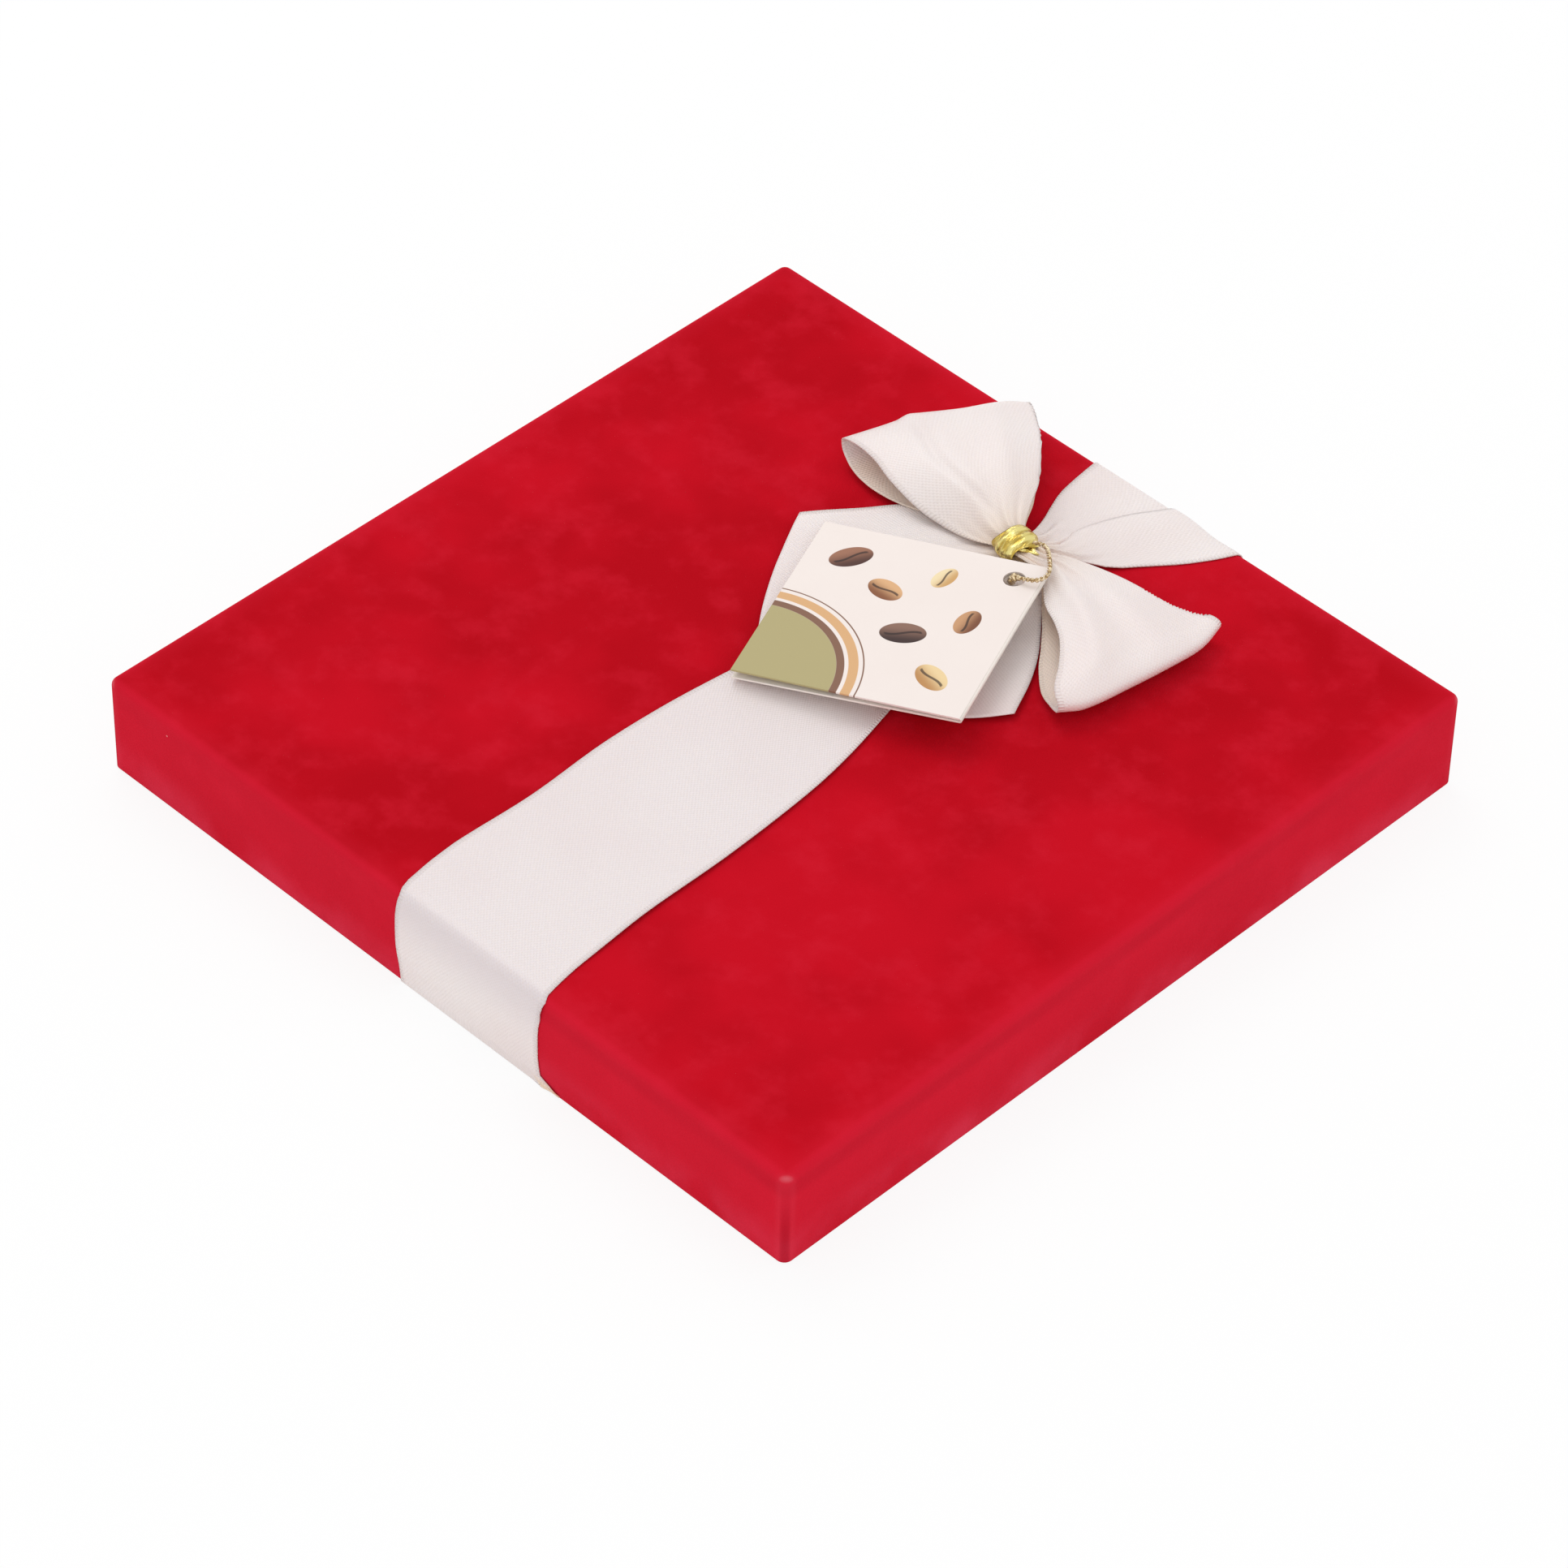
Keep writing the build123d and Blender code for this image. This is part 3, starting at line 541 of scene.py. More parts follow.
def band_place(row, across):
    """How the long run lies: its edges, the pleat behind the tie, the gathers on both sides of
    it, and the slack of the cloth between."""
    (y, z), (out_y, out_z), way = band_path[row]
    left, right = read(band_left, y), read(band_right, y)
    if y < front_wall:
        left, right = read(wall_left, z), read(wall_right, z) + foot_flare * ease(z, 1.6, 0.2)
    height = 0
    x = mix(left, right, across)
    if y > pleat_from:
        open_out = ease(y, 64, 76)
        pleat = read(pleat_line, y)
        lap = pleat_lap * ease(y, 66, 90)
        under, over = pleat_share - pleat_turn, pleat_share + pleat_turn
        if across < under:
            folded = mix(left, pleat + lap, across / under)
            height = 0.1
        elif across < over:
            turn = (across - under) / (over - under)
            folded = pleat + lap * (1 - turn) - 0.25 * sin(pi * turn)
            height = mix(0.1, pleat_high, turn)
        else:
            beyond = (across - over) / (1 - over)
            folded = mix(pleat, right, beyond)
            height = pleat_high * (1 - ease(beyond, 0.1, 0.75)) + 0.12 * sin(9 * beyond) * beyond
        x = mix(x, folded, open_out)
        height *= open_out
    from_tie = abs(y - tie_y)
    pleats = sin(2 * pi * (5.2 * across + 0.15)) + 0.5 * sin(2 * pi * (8.7 * across + 0.4))
    tall = (1.3 if y > tie_y else 0.45) * (0.35 + 0.65 * ease(from_tie, 2, 6))
    height += tall * (0.9 + pleats) * exp(-(from_tie / 9) ** 2)
    if -90 < y < 40:
        calm = ease(y, -90, -70) * ease(y, 40, 20)
        height += 0.16 * calm * (1 + noise.noise((x / 18, y / 26, 3.1)))
        height += 0.35 * calm * ease(across, 0.9, 1.0)
    height = max(height, 0)
    # Painted shade: the turned-under foot that peeks out below the rim gets the full warm tone
    in_flare = y < front_wall + 0.5 and z < 0.9 and x > 30
    painted_warmth = 0.9 * exp(-from_tie / 6) + (1.0 if in_flare else 0)
    if y < front_wall and x > 29.5:
        height, z = 0.25, z + 0.7 * ease(x, 29.5, 33) * ease(z, 3, 0.2)
    spot = (x, y + out_y * height, max(z + out_z * height, table_clear))
    return spot, min(painted_warmth, 1), (way / 1000, across * ribbon_width / 1000)


bm = laid_grid(len(band_path) - 1, band_columns, band_place)
band = piece("ribbon_long_run", bm, satin, "lid", ribbon_thick)
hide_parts("ribbon_band")


# Ends of the bow
# The ribbon's two cut ends. Each leaves the tie bunched, drops to the lid and lies on it,
# partly under the card, its end cut slantwise.
end_rows, end_columns = 56, 50
end_rest = 24.405
# An end from the side, in millimetres above its rest by shares of its length from the tie
end_side = [(-0.1, 1.6), (0.05, 1.54), (0.14, 0.72), (0.24, 0.13), (0.4, 0), (1.1, 0)]
# The edges of both, by shares: out from the tie in lengths, and across in ribbon widths
end_left_near = [
    (-0.025, -0.016), (-0.004, -0.105), (0.036, -0.225), (0.143, -0.4), (0.334, -0.48),
    (0.52, -0.478), (0.745, -0.467),
]
end_left_far = [
    (0.034, 0.04), (0.055, 0.06), (0.13, 0.08), (0.2, 0.12), (0.45, 0.28), (0.8, 0.45),
    (1.0, 0.47),
]
end_right_near = [
    (0.026, -0.028), (0.078, 0.035), (0.14, 0.005), (0.2, -0.07), (0.44, -0.22), (0.76, -0.3),
    (0.996, -0.298),
]
end_right_far = [
    (-0.02, 0.034), (0.03, 0.105), (0.12, 0.162), (0.268, 0.215), (0.388, 0.255),
    (0.546, 0.292), (0.714, 0.305), (0.902, 0.292),
]


def end_left_lift(out, across):
    """The left end stands off the lid a little along its near edge."""
    return 0.9 * ease(out, 0.2, 0.7) * ease(across, 0.35, 0.0)


def end_right_lift(out, across):
    """The right end arches close to the tie and curls up at its far corner."""
    arch = 2.2 * exp(-((out - 0.24) / 0.1) ** 2)
    return 0.5 * ease(out, 0.5, 0.95) * ease(across, 0.5, 1.0) + arch


def end_place(turn, length, near, far, bulge, tuck, lift):
    """How an end lies: its two edges, how far the slant bulges, and the share of its width
    that is tucked back under its near edge."""
    axis = Vector((cos(radians(turn)), sin(radians(turn))))
    side = Vector((-axis.y, axis.x))

    def place(row, across):
        share = row / end_rows
        under = 1 - ease(across, tuck * 0.9, tuck * 1.1) if tuck else 0
        seen = abs(across - tuck) / (1 - tuck)
        out_near, out_far = mix(near[0][0], near[-1][0], share), mix(far[0][0], far[-1][0], share)
        out = mix(out_near, out_far, seen) + bulge * 4 * seen * (1 - seen) * share
        wide = mix(read(near, out_near), read(far, out_far), seen) * ribbon_width
        flat = axis * out * length + side * wide
        gathered = exp(-max(out, 0) * length / 8)
        pleats = sin(2 * pi * (3.5 * seen + 0.2)) + 0.4 * sin(2 * pi * (7.3 * seen + 0.6))
        up = read(end_side, out) + 0.55 * gathered * pleats
        ripple = noise.noise((flat.x / 13, flat.y / 13, turn)) * ease(out, 0.2, 0.5)
        up += 0.35 * (ripple + 0.5 * ease(out, 0.2, 0.5)) + lift(out, seen)
        spot = (tie_x + flat.x, tie_y + flat.y, end_rest + max(up, -0.1) - 0.3 * under)
        # The painted warm tone is strongest in the gathers by the tie
        return spot, 0.75 * gathered, (share * length / 1000, across * ribbon_width / 1000)

    return place


for name, node, turn, length, cut, near, far, bulge, tuck, lift in (
    ("bow_end_left", "bow_tail_left", -126.7, 56.0, 0.0018, end_left_near, end_left_far,
     0.03, 0, end_left_lift),
    ("bow_end_right", "bow_tail_right", -61.7, 50.0, 0.0016, end_right_near, end_right_far,
     0.04, 0.34, end_right_lift),
):
    place = end_place(turn, length, near, far, bulge, tuck, lift)
    bow_end = piece(name, laid_grid(end_rows, end_columns, place), satin, "lid", ribbon_thick)
    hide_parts(node)


# Loops of the bow
# Each loop leaves the tie in tight gathers, swells upward, turns over at its nose and comes
# back underneath. Soft ridges run out from the gathers, and the front edge stands open.
wing_rows, wing_columns = 120, 72
bow_half_gap, bow_lift = 0.6, 0.3
most_tucked = 0.46
# Each loop from the side, out from the tie over the top and back, as shares of reach and rise
left_side = [
    (0, 0.48), (0.19, 0.74), (0.42, 0.99), (0.68, 1.0), (0.89, 0.85), (1.0, 0.6),
    (0.99, 0.34), (0.87, 0.18), (0.7, 0.14), (0.52, 0.13), (0.34, 0.13), (0.17, 0.16), (0, 0.22),
]
right_side = [
    (0, 0.5), (0.17, 0.66), (0.35, 0.78), (0.54, 0.97), (0.73, 0.99), (0.9, 0.86), (1.0, 0.62),
    (0.99, 0.36), (0.88, 0.21), (0.72, 0.17), (0.54, 0.19), (0.36, 0.25), (0.18, 0.29), (0, 0.3),
]
# Where the edges lie, in millimetres out from the tie and across: near and far edge of the
# upper layer, then of the lower one
left_edges = (
    [(0, -3.2), (4, -3.2), (8, -5.6), (14, -10), (24, -14.2), (33, -16.2), (44, -17.4)],
    [(0, 3.0), (2.1, 4.2), (5, 6.5), (8.7, 9.1), (13.2, 11.9), (16.6, 14.2), (20.5, 16.3),
     (25.7, 18.4), (31.8, 19.7), (40.6, 22.9), (44, 23.4)],
    [(0, -3.2), (4, -3.2), (8, -5), (14, -9), (24, -13.5), (33, -16), (44, -17.4)],
    [(0, 2.6), (5, 3), (10, 5.5), (15, 9.5), (19, 14), (21.9, 16.8), (25.6, 19.4),
     (30.4, 21.6), (36.9, 23), (44, 23.4)],
)
right_edges = (
    [(0, -2.5), (5, -2.4), (9.7, -2.6), (18, -8.3), (24.3, -11.1), (29.4, -13.8),
     (36.9, -19.1), (42, -23.4), (47, -25)],
    [(0, 2.5), (4, 2.6), (6.6, 3.1), (10.7, 5.4), (16.9, 8), (26.4, 10.2), (33.1, 12.2),
     (37.8, 14.4), (42, 16.6), (47, 18)],
    [(0, -2.5), (5, -2.6), (12.5, -5), (18.7, -9.4), (23.6, -13.7), (28.3, -18), (35, -22),
     (41, -23.6), (47, -25)],
    [(0, 2.5), (4, 2.4), (8.8, 3.2), (16.9, 6.4), (26.4, 9.2), (33.1, 11.2), (37.8, 13.6),
     (42, 16.2), (47, 18)],
)
# How far the nose reaches, by the share across
left_nose = [
    (0, 0.93), (0.12, 0.975), (0.35, 0.99), (0.56, 1.02), (0.62, 1.03), (0.7, 1.0), (1, 0.96),
]
right_nose = [(0, 0.93), (0.12, 0.985), (0.4, 1.0), (0.7, 1.0), (0.85, 0.985), (1, 0.93)]
# The left loop's crease, by the share across, and how deep the cloth falls before it
left_crease = [(0, 0.5), (7, 0.5), (14.7, 0.61), (26.4, 0.66), (38.9, 0.6), (44, 0.58)]
left_drop = [
    (0, 1.2), (2, 2.6), (5, 4.5), (8.7, 6.0), (13, 7.0), (16.6, 6.9), (20.5, 6.0), (25.7, 4.4),
    (31.8, 2.8), (37, 1.2), (43, 0),
]
# How deep the right loop falls along its back edge, and where its front edge is pinched
right_drop = [(0, 0), (8, 0.4), (16, 1.0), (24, 1.2), (32, 0.8), (40, 0.2), (46, 0)]
right_pinch = [(0, 0), (10, 0.2), (25, 1.6), (38, 2.6), (45, 0.6)]


def soft_line(points):
    """A smooth line through points, read by its share of the way, and its length."""
    places = [0]
    for (ax, ay), (bx, by) in zip(points, points[1:]):
        places.append(places[-1] + ((bx - ax) ** 2 + (by - ay) ** 2) ** 0.5)
    tables = [[(way, point[i]) for way, point in zip(places, points)] for i in (0, 1)]
    return (lambda share: tuple(read(table, share * places[-1]) for table in tables)), places[-1]


def wing_place(turn, reach, rise, side_shares, edges, nose, relief, tucked_far):
    """How a loop lies. The width that its gathers leave over is tucked in under one edge."""
    axis = Vector((cos(radians(turn)), sin(radians(turn))))
    side = Vector((-axis.y, axis.x))
    line, length = soft_line([(out * reach, up * rise) for out, up in side_shares])

    def place(row, across):
        share = row / wing_rows
        out, up = line(share)
        lower = ease(share, 0.44, 0.58)
        near = mix(read(edges[0], out), read(edges[2], out), lower)
        far = mix(read(edges[1], out), read(edges[3], out), lower)
        tuck = 0.85 * min(max(1 - (far - near) / ribbon_width, 0), most_tucked)
        from_tuck = 1 - across if tucked_far else across
        under = 1 - ease(from_tuck, tuck * 0.9, tuck * 1.1) if tuck > 0.02 else 0
        seen = abs(from_tuck - tuck) / (1 - tuck)
        if tucked_far:
            seen = 1 - seen
        wide = mix(near, far, seen)
        gathered = exp(-out / 8)
        pleats = sin(2 * pi * (3.2 * seen + 0.1)) + 0.5 * sin(2 * pi * (6.8 * seen + 0.5))
        up += gathered * pleats * mix(0.8, 0.35, lower) * mix(0.25, 1, ease(out, 0, 5))
        up += (1 - lower) * relief(out, seen) - 0.5 * under * (1 - 2 * lower)
        out *= mix(1, read(nose, seen), ease(out / reach, 0.55, 1))
        flat = axis * (out + bow_half_gap) + side * wide
        spot = (tie_x + flat.x, tie_y + flat.y, lid_top + bow_lift + up)
        # Painted light: warm near the gathers and over the inside of the lower layer
        painted_warmth = 0.75 * exp(-out / 10) + 0.45 * ease(share, 0.5, 0.6)
        return spot, painted_warmth, (share * length / 1000, across * ribbon_width / 1000)

    return place, length


def left_relief(out, across):
    """A sharp crease from the gathers to the nose, the cloth before it falling to the open
    edge, and a softer ridge behind it."""
    crease = read(left_crease, out)
    fall = read(left_drop, out) * (max(across - crease, 0) / (1 - crease)) ** 1.2
    valley = 0.95 * exp(-((across - crease - 0.03) / 0.04) ** 2)
    ridge = 0.6 * exp(-((across - mix(0.36, 0.22, out / 42)) / 0.09) ** 2)
    back = 1.6 * ease(across, 0.25, 0) * ease(out, 42, 30)
    return ease(out, 3, 14) * ease(out, 43, 36) * (ridge - valley) - fall - back


def right_relief(out, across):
    """A broad soft ridge, the back edge falling away and the front one pinched flat."""
    body = ease(out, 3, 14) * ease(out, 45, 38)
    ridge = 0.9 * exp(-((across - mix(0.42, 0.22, out / 45)) / 0.1) ** 2)
    valley = 0.8 * exp(-((across - mix(0.62, 0.5, out / 45)) / 0.12) ** 2)
    pinch = ease(across, 0.6, 1) * read(right_pinch, out)
    return body * (ridge - valley) - pinch - read(right_drop, out) * ease(across, 0.25, 0)


for name, node, turn, reach, rise, side_shares, edges, nose, relief, tucked_far in (
    ("bow_wing_left", "bow_loop_left", 154, 42.0, 9.8, left_side, left_edges, left_nose,
     left_relief, False),
    ("bow_wing_right", "bow_loop_right", -7.3, 45.0, 8.6, right_side, right_edges, right_nose,
     right_relief, True),
):
    place, length = wing_place(turn, reach, rise, side_shares, edges, nose, relief, tucked_far)
    wing = piece(name, laid_grid(wing_rows, wing_columns, place), satin, "lid", ribbon_thick)
    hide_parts(node)


# Foil tie
# A strip of crinkled gold foil wound round the bow's waist with a lap, one end twisted to a
# point at the side, and a strap that passes under the band's neck.
tie_turn, tie_across, tie_tall, tie_long, tie_middle = -17, 8.8, 6.0, 6.2, 28.1
tie_rows, tie_columns, tie_wound_degrees = 84, 26, 400
foil_thick = 0.00012
crease_size, wrinkle_size, foil_relief = 0.0013, 0.0005, 0.0003
# The twisted end's line in millimetres from the tie's middle: along, aside, up and radius
twist_path = [
    (1.6, 0.1, 1.7, 1.9), (2.6, 0.4, 1.7, 1.55), (3.4, 0.8, 1.7, 1.05), (4.2, 1.2, 1.7, 0.65),
    (5.0, 1.6, 1.8, 0.38), (5.7, 2.0, 1.9, 0.1),
]
twist_rows, twist_columns = 30, 24
strap_corners = [((-3.3, 26), 0), ((-3.3, 23.75), 0.4), ((3.3, 23.75), 0.4), ((3.3, 26), 0)]
strap_step, strap_columns, strap_wide = 0.5, 8, 4.4

# Aluminium foil under yellow lacquer: mirror bright, with creases that run round the waist;
# pale glints and olive shade are painted in streaks along them
foil, tree, where = material("gold foil", Metallic=1.0, Roughness=0.27)
inputs = {"Vector": where, "Rotation": (0, 0, radians(-tie_turn)), "Scale": (1.0, 0.3, 0.3)}
wrapped = add(tree, "Mapping", inputs)[0]
creases = add(tree, "TexNoise", {"Vector": wrapped, "Scale": 1 / crease_size, "Detail": 3.0})[0]
wrinkle = add(tree, "TexNoise", {"Vector": wrapped, "Scale": 1 / wrinkle_size, "Detail": 2.0})[0]
painted_glint_streaks = add(tree, "MapRange", (creases, 0.38, 0.62), interpolation_type="SMOOTHSTEP")[0]
ridges = add(tree, "MapRange", (creases, 0.3, 0.7), interpolation_type="SMOOTHSTEP")[0]
crinkle = add(tree, "Math", (wrinkle, 0.5, ridges), operation="MULTIPLY_ADD")[0]
# Painted glints and shade: paler and darker streaks along the creases
colour = coated(tree, linear("C4A64C"), ("F3E493", 1.0, painted_glint_streaks))
finish_off(tree, colour, crinkle, foil_relief, 0.8)

tie_axis = Vector((cos(radians(tie_turn)), sin(radians(tie_turn)), 0))
tie_side = Vector((-tie_axis.y, tie_axis.x, 0))
tie_centre = Vector((tie_x, tie_y, tie_middle))


def foil_place(row, across):
    """Round the waist a turn and a bit, from the lap's hidden end to its free one."""
    share = row / tie_rows
    turn = radians(tie_wound_degrees * (share - 0.5))
    along = (across - 0.5) * tie_long * (1 + 0.1 * sin(3 * turn))
    flare = 0.35 * (2 * across - 1) ** 2
    crease = 0.2 * noise.noise((0.9 * turn, 0.9 * along, 7.3))
    crease += 0.11 * sin(4.6 * along + 1.3 * sin(turn)) * ease(along, -1.2, 1.0)
    taper = 0.75 * ease(across, 0.45, 1)
    out = 0.15 * share + crease - flare - taper
    spot = tie_centre + tie_axis * along + tie_side * (tie_across / 2 + out) * sin(turn)
    spot += Vector((0, 0, (tie_tall / 2 + out) * cos(turn)))
    return spot, 0, (share * 0.03, across * 0.007)


tie = piece(
    "foil_tie", laid_grid(tie_rows, tie_columns, foil_place), foil, "lid", foil_thick
)
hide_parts("bow_tie")


def twist_place(row, across):
    """The foil's end, rolled to a cone and twisted to a point."""
    share = row / twist_rows
    along, aside, up, radius = (
        read([(i / 5, point[k]) for i, point in enumerate(twist_path)], share) for k in range(4)
    )
    turn = 2 * pi * across + 5.5 * share
    radius *= 1 + 0.3 * sin(3 * turn) + 0.12 * sin(7 * turn)
    spot = tie_centre + tie_axis * along + tie_side * (aside + radius * cos(turn))
    spot += Vector((0, 0, up - 0.6 + 0.6 * radius * sin(turn)))
    return spot, 0, (share * 0.006, across * 0.004)


bm = laid_grid(twist_rows, twist_columns, twist_place, closed=True)
twist = piece("foil_twist", bm, foil, "lid")

strap_path = stations(strap_corners, strap_step)


def strap_place(row, across):
    """Down one side of the neck, under it and up the other side."""
    (side, up), _, way = strap_path[row]
    height = up + 0.08 * sin(9 * across + way)
    spot = Vector((tie_x + side, tie_y + (across - 0.5) * strap_wide, height))
    return spot, 0, (way / 1000, across * strap_wide / 1000)


bm = laid_grid(len(strap_path) - 1, strap_columns, strap_place)
strap = piece("foil_strap", bm, foil, "lid", foil_thick)


# Folded card
# Two leaves of cream card joined at a fold, punched at one corner, with a printed olive
# quarter round and scattered cocoa beans. The leaves are cut sharp and stay as they are.
card_centre, card_turn, card_tilt = (0.00496, 0.02458, 0.0295), 22.13, 5.62
card_side = 48.8
fold_rows, fold_columns, fold_radius, fold_drop, fold_thick = 10, 4, 0.35, 0.35, 0.00036
ink_edge, bean_share, slit_bend = 0.06, 0.64, 0.2
shade_size, fibre_size, fibre_relief = 0.012, 0.0003, 0.00002
# The rings about the card's corner in millimetres: from, to and colour
rings = (
    (-1, 21, "B4A878"), (21, 22.6, "86604C"), (23.4, 25.4, "DDAE7C"), (26.3, 26.6, "86604C"),
)
# The beans on its face: middle, turn, half length, deep and light colour
beans = (
    (-15.0, 15.5, 35, 4.6, "4E2C24", "A06E56"), (-4.5, 8.0, -25, 4.2, "8A5434", "E0B080"),
    (5.5, 15.0, 70, 3.4, "D2A468", "F4E0B4"), (4.0, -3.5, 10, 4.8, "3A2422", "8C6858"),
    (15.0, 3.5, 80, 3.8, "7C4A30", "CC9A70"), (14.5, -14.5, -40, 4.4, "C08C54", "F0D4A0"),
)

# Uncoated card, smooth and matt, with flat inks that stop sharply
card, tree, where = material("printed cream card", Roughness=0.55, Specular_IOR_Level=0.35)
inputs = {
    "Vector": where, "Location": card_centre, "Scale": (0.001, 0.001, 0.001),
    "Rotation": (0, radians(-card_tilt), radians(card_turn)),
}
on_card = add(tree, "Mapping", inputs, vector_type="TEXTURE")[0]
face = add(tree, "VectorMath", (on_card, (1, 1, 0)), operation="MULTIPLY")[0]


def oval(x, y, turn=0, length=1, width=1):
    """Coordinates about a point of the card's face, turned, in shares of two half sizes, and
    how far out they are."""
    inputs = {
        "Vector": face, "Location": (x, y, 0), "Rotation": (0, 0, radians(turn)),
        "Scale": (length, width, 1),
    }
    spot = add(tree, "Mapping", inputs, vector_type="TEXTURE")[0]
    return spot, add(tree, "VectorMath", (spot,), operation="LENGTH")["Value"]


shade = add(tree, "TexNoise", {"Vector": where, "Scale": 1 / shade_size, "Detail": 3.0})[0]
colour = coated(tree, linear("F1E5DF"), ("F5EAE4", 1.0, shade))
_, from_corner = oval(-card_side / 2, -card_side / 2)
for start, end, ink in rings:
    masks = [
        add(tree, "MapRange", (from_corner, *edge), interpolation_type="SMOOTHSTEP")[0]
        for edge in ((start - ink_edge, start + ink_edge), (end + ink_edge, end - ink_edge))
    ]
    colour = coated(tree, colour, (ink, 1.0, *masks))
for x, y, turn, length, deep, light in beans:
    spot, reach = oval(x, y, turn, length, length * bean_share)
    parts = add(tree, "SeparateXYZ", (spot,))
    wave = add(tree, "Math", (parts["X"], 2.8), operation="MULTIPLY")[0]
    wave = add(tree, "Math", (wave,), operation="SINE")[0]
    wave = add(tree, "Math", (wave, slit_bend), operation="MULTIPLY")[0]
    off_slit = add(tree, "Math", (parts["Y"], wave), operation="SUBTRACT")[0]
    off_slit = add(tree, "Math", (off_slit,), operation="ABSOLUTE")[0]
    lit, slit, within, bean = (
        add(tree, "MapRange", inputs, interpolation_type="SMOOTHSTEP")[0] for inputs in (
            (parts["Y"], -0.8, 0.7), (off_slit, 0.14, 0.07), (reach, 0.85, 0.75),
            (reach, 1.02, 0.98),
        )
    )
    skin = coated(tree, linear(deep), (light, 1.0, lit), ("2A1816", 0.8, slit, within))
    colour = add(tree, "Mix", {0: bean, 6: colour, 7: skin}, data_type="RGBA")[2]
fibres = add(tree, "TexNoise", {"Vector": where, "Scale": 1 / fibre_size, "Detail": 3.0})[0]
finish_off(tree, colour, fibres, fibre_relief, 0.5)


def mottled(name, deep, pale, patches, grain=None, relief=0.0, strength=1.0, **inputs):
    """A material of two shades in cloudy patches, with a raised grain over them. Patches and
    grain are given by their size in metres, detail and roughness."""
    made, tree, where = material(name, **inputs)
    fields = []
    for size, detail, roughness in filter(None, (patches, grain)):
        values = {"Vector": where, "Scale": 1 / size, "Detail": detail, "Roughness": roughness}
        fields.append(add(tree, "TexNoise", values)[0])
    colour = coated(tree, linear(deep), (pale, 1.0, fields[0]))
    finish_off(tree, colour, *fields[1:], relief=relief, strength=strength)
    return made


# The same card unprinted: fibres a millimetre long, just told apart by their shade
plain_card = mottled("plain cream card", "EFE5DC", "F6EEE6", (0.001, 3.0, 0.5), Roughness=0.6)
dress("tag_cover", card)
dress("tag_back", plain_card)
card_place = (
    Matrix.Translation(card_centre)
    @ Matrix.Rotation(radians(card_turn), 4, "Z")
    @ Matrix.Rotation(radians(-card_tilt), 4, "Y")
)


def fold_place(row, across):
    """A half round from the upper leaf's edge down to the lower one's."""
    turn = pi * (row / fold_rows - 0.5)
    out, up = fold_radius * cos(turn), fold_radius * sin(turn)
    local = Vector((card_side / 2 + out, (across - 0.5) * card_side, up - fold_drop))
    return card_place @ (local / 1000) * 1000, 0, (row * 0.0001, across * card_side / 1000)


bm = laid_grid(fold_rows, fold_columns, fold_place)
fold = piece("card_fold", bm, plain_card, thickness=fold_thick)
low, high = (
    card_place @ (Vector((card_side / 2, 0, z - fold_drop)) / 1000)
    for z in (-fold_radius, fold_radius)
)
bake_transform(fold)


# Base of the box
# A board tray covered in plain red paper and lined in cream; its four corners are held by
# gummed paper, as the lid's are. Gummed paper tapes the ribbon inside the lid too.

# Dyed paper, pressed smooth: even and slightly waxy, with the shortest fibres raised. Here as
# in the other papers a fibre is drawn about ten times as wide as it is, so that it shows.
red_paper = mottled(
    "red cover paper", "A80F20", "B81426", (0.02, 4.0, 0.5), (0.0005, 3.0, 0.5),
    relief=0.00003, strength=0.6, Roughness=0.62,
)
# Uncoated lining paper: soft, warm and matt
cream_paper = mottled(
    "cream lining paper", "EBDFCB", "F2E8D6", (0.003, 4.0, 0.5), (0.0006, 3.0, 0.5),
    relief=0.00003, strength=0.6, Roughness=0.7,
)
# Board pressed from waste paper: grey, speckled and rough
grey_board = mottled(
    "grey board", "8E877C", "A8A195", (0.0012, 5.0, 0.7), (0.0008, 4.0, 0.5),
    relief=0.00006, strength=0.7, Roughness=0.85,
)
# Strong unbleached paper with glue behind it: brown and faintly cloudy
gummed_paper = mottled(
    "gummed brown paper", "B58D5E", "C9A274", (0.002, 4.0, 0.5), Roughness=0.6,
)
for finish, names in (
    (red_paper, ("base_cover",)),
    (cream_paper, ("base_lining", "lid_lining")),
    (grey_board, ("base_board", "lid_board")),
    (gummed_paper, (
        "base_corner_stays", "lid_corner_stays", "ribbon_tape_front", "ribbon_tape_back",
    )),
):
    for name in names:
        dress(name, finish)


# Quilted pad
# Two sheets of glazed white paper with wadding between, pressed together in crossing
# channels so that the fields between them stand up like cushions.
pad_side, pad_low, pad_thick, pad_fields = 177.2, 17.7, 3.1, 5
pad_cuts, channel_share, ruffle, ruffles_across = 79, 0.42, 0.06, 22

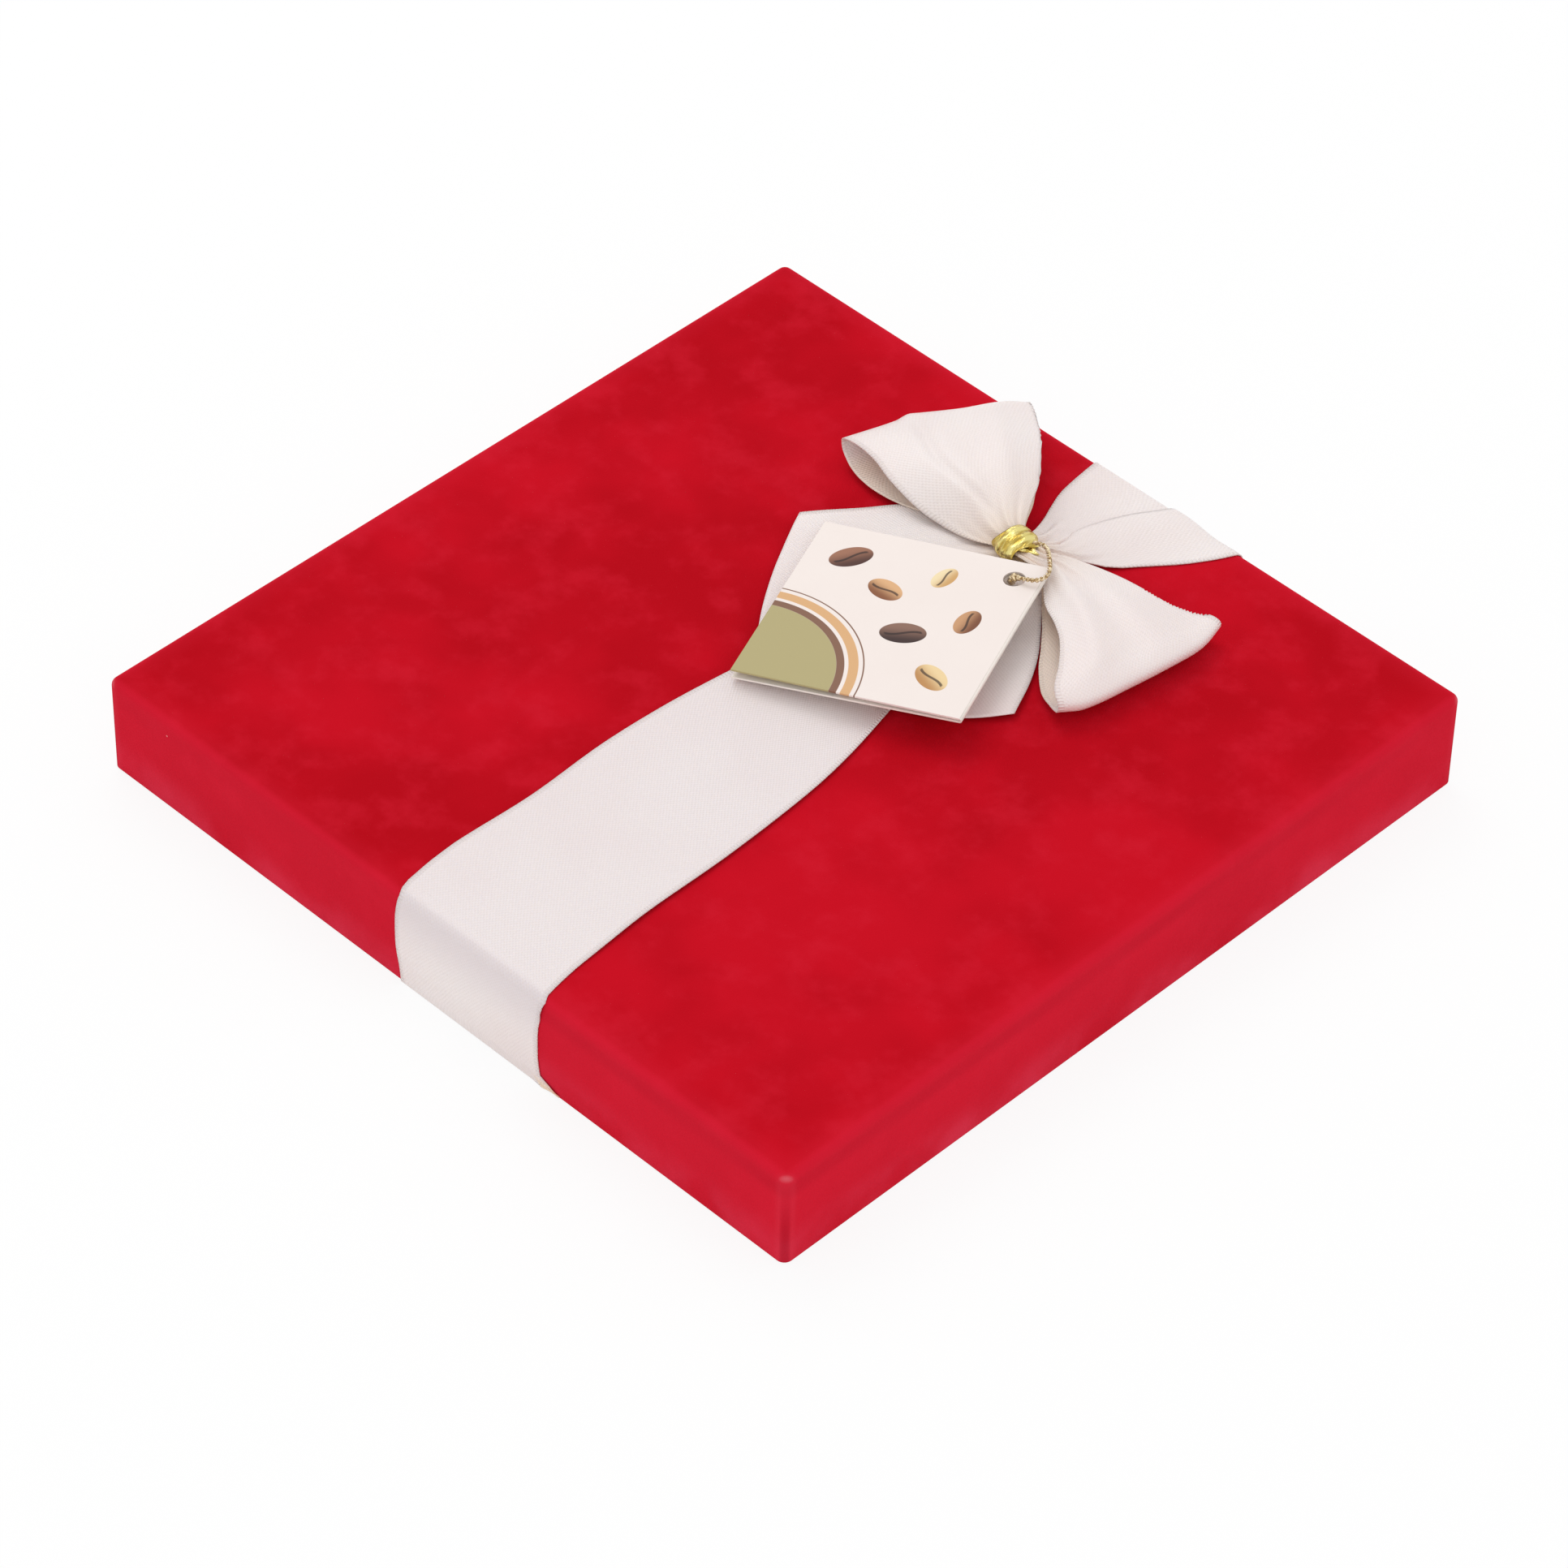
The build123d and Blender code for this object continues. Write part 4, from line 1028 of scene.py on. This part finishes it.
# Glassine: white and faintly glossy, crumpled a little by the wadding
pad_paper = mottled(
    "glazed pad paper", "F1EADF", "F8F3EA", (0.01, 4.0, 0.5), (0.0015, 4.0, 0.6),
    relief=0.00012, strength=0.5, Roughness=0.35, Sheen_Weight=0.1,
)
bm = bmesh.new()
bmesh.ops.create_cube(bm, size=1)
bmesh.ops.subdivide_edges(bm, edges=bm.edges, cuts=pad_cuts, use_grid_fill=True)
for v in bm.verts:
    x, y, upper = v.co.x, v.co.y, v.co.z
    puff = 1.0
    for place in (x, y):
        from_middle = abs(((place + 0.5) * pad_fields) % 1 - 0.5) * 2
        puff *= 1 - from_middle ** 6
    puff = puff ** 0.5
    swell = channel_share + (1 - channel_share) * puff
    swell *= 1 + ruffle * noise.noise((x * ruffles_across, y * ruffles_across, 1.7))
    up = pad_low + pad_thick / 2 + upper * pad_thick * min(swell, 1)
    v.co = Vector((x * pad_side, y * pad_side, up)) / 1000
pad = piece("quilted_pad", bm, pad_paper, "pad")
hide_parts("cushion_pad")


# Tray
# One sheet of brown plastic, vacuum formed with a cup for each sweet. It stands loose in the
# base.

# Thermoformed polystyrene: glossy and dark, its sheet slightly wavy where it was drawn
tray_brown = mottled(
    "brown tray plastic", "5A3320", "6B4028", (0.02, 2.0, 0.5), (0.004, 2.0, 0.5),
    relief=0.00006, strength=0.4, Roughness=0.22, Coat_Weight=0.3, Coat_Roughness=0.15,
)
dress("praline_tray", tray_brown)


# Sweets
# Moulded and piped chocolates, dark, milk and white. Each kind is shaped once, and every sweet
# is a copy that stands in its own cup.
sweet_wide, sweet_tall = 25.0, 15.0

# Tempered chocolate out of a polished mould: a soft gloss over faint cloudy marks
chocolates = {
    kind: mottled(
        kind + " chocolate", deep, pale, (0.006, 4.0, 0.5), (0.0012, 3.0, 0.5),
        relief=0.00005, strength=0.5, Roughness=0.32, Coat_Weight=0.1,
    )
    for kind, deep, pale in (
        ("dark", "371A0F", "472615"), ("milk", "6B3A22", "7D492C"), ("white", "E9D7B0", "F3E5C6"),
    )
}


def swollen(shape, cuts=24):
    """A cube divided finely and moved by shape(x, y, up), all in shares of the sweet."""
    bm = bmesh.new()
    bmesh.ops.create_cube(bm, size=1)
    bmesh.ops.subdivide_edges(bm, edges=bm.edges, cuts=cuts, use_grid_fill=True)
    for v in bm.verts:
        x, y, up = shape(v.co.x, v.co.y, v.co.z + 0.5)
        v.co = Vector((x * sweet_wide, y * sweet_wide, up * sweet_tall)) / 1000
    return bm


def raised_block(x, y, up):
    """Drafted and rounded, with a diamond raised on its top."""
    corner = 1 - 0.12 * abs(2 * x) ** 6 * abs(2 * y) ** 6
    wide = (1 - 0.12 * up - 0.1 * max(up - 0.85, 0) / 0.15) * corner
    diamond = ease(abs(x) + abs(y), 0.25, 0.2) * ease(up, 0.9, 1)
    edge = 1 - 0.06 * ease(max(abs(x), abs(y)), 0.4, 0.5) * ease(up, 0.8, 1)
    return x * wide, y * wide, 0.92 * up * edge + 0.08 * diamond


def grooved_bar(x, y, up):
    """A half-round bar with three grooves pressed across it."""
    arch = 0.4 + 0.6 * max(1 - (2 * x) ** 2, 0) ** 0.5
    groove = sum(exp(-((y - g) / 0.035) ** 2) for g in (-0.25, 0, 0.25))
    end = 1 - 0.12 * ease(abs(y), 0.44, 0.5)
    return x * 0.72 * end, y, up * arch * (1 - 0.09 * groove) * end


def turned_sweet(profile, lobes, swing, deep, rows=30, columns=80):
    """A round sweet from its profile of radius and height, fluted by lobes that twist upward."""

    def place(row, across):
        share = row / rows
        steps = len(profile) - 1
        radius, up = (
            read([(i / steps, point[k]) for i, point in enumerate(profile)], share)
            for k in (0, 1)
        )
        turn = 2 * pi * across
        radius *= 1 - deep * (0.5 - 0.5 * cos(lobes * (turn + swing * up)))
        spot = (radius * sweet_wide * cos(turn), radius * sweet_wide * sin(turn), up * sweet_tall)
        return spot, 0, (share, across)

    return laid_grid(rows, columns, place, closed=True)


dome = [
    (0, 0), (0.46, 0), (0.5, 0.04), (0.5, 0.2), (0.46, 0.48), (0.36, 0.74), (0.2, 0.9),
    (0.11, 0.93), (0.1, 0.98), (0.05, 1.0), (0, 1.0),
]
rosette = [
    (0, 0), (0.44, 0), (0.5, 0.06), (0.48, 0.2), (0.44, 0.36), (0.36, 0.56), (0.26, 0.74),
    (0.15, 0.9), (0.07, 0.98), (0, 1.0),
]
gem = [
    (0, 0), (0.44, 0), (0.46, 0.03), (0.52, 0.46), (0.52, 0.52), (0.42, 0.85), (0.4, 0.88),
    (0.28, 0.99), (0.25, 1.0), (0, 1.0),
]
for kind, chocolate, pattern in (
    ("block", "dark", swollen(raised_block)),
    ("dome", "milk", turned_sweet(dome, lobes=1, swing=0, deep=0)),
    ("barrel", "milk", swollen(grooved_bar, cuts=30)),
    ("rosette", "white", turned_sweet(rosette, lobes=10, swing=0.9, deep=0.16)),
    ("gem", "dark", turned_sweet(gem, lobes=8, swing=0, deep=0.075)),
):
    for name in sorted(nodes):
        if name.startswith("praline_") and name.endswith(kind):
            low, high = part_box(name)
            bm = pattern.copy()
            at = Vector(((low[0] + high[0]) / 2, (low[1] + high[1]) / 2, low[2]))
            bmesh.ops.translate(bm, verts=bm.verts, vec=at)
            sweet = piece(name.replace("praline", "sweet"), bm, chocolates[chocolate], "pralines")
            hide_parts(name)
    pattern.free()
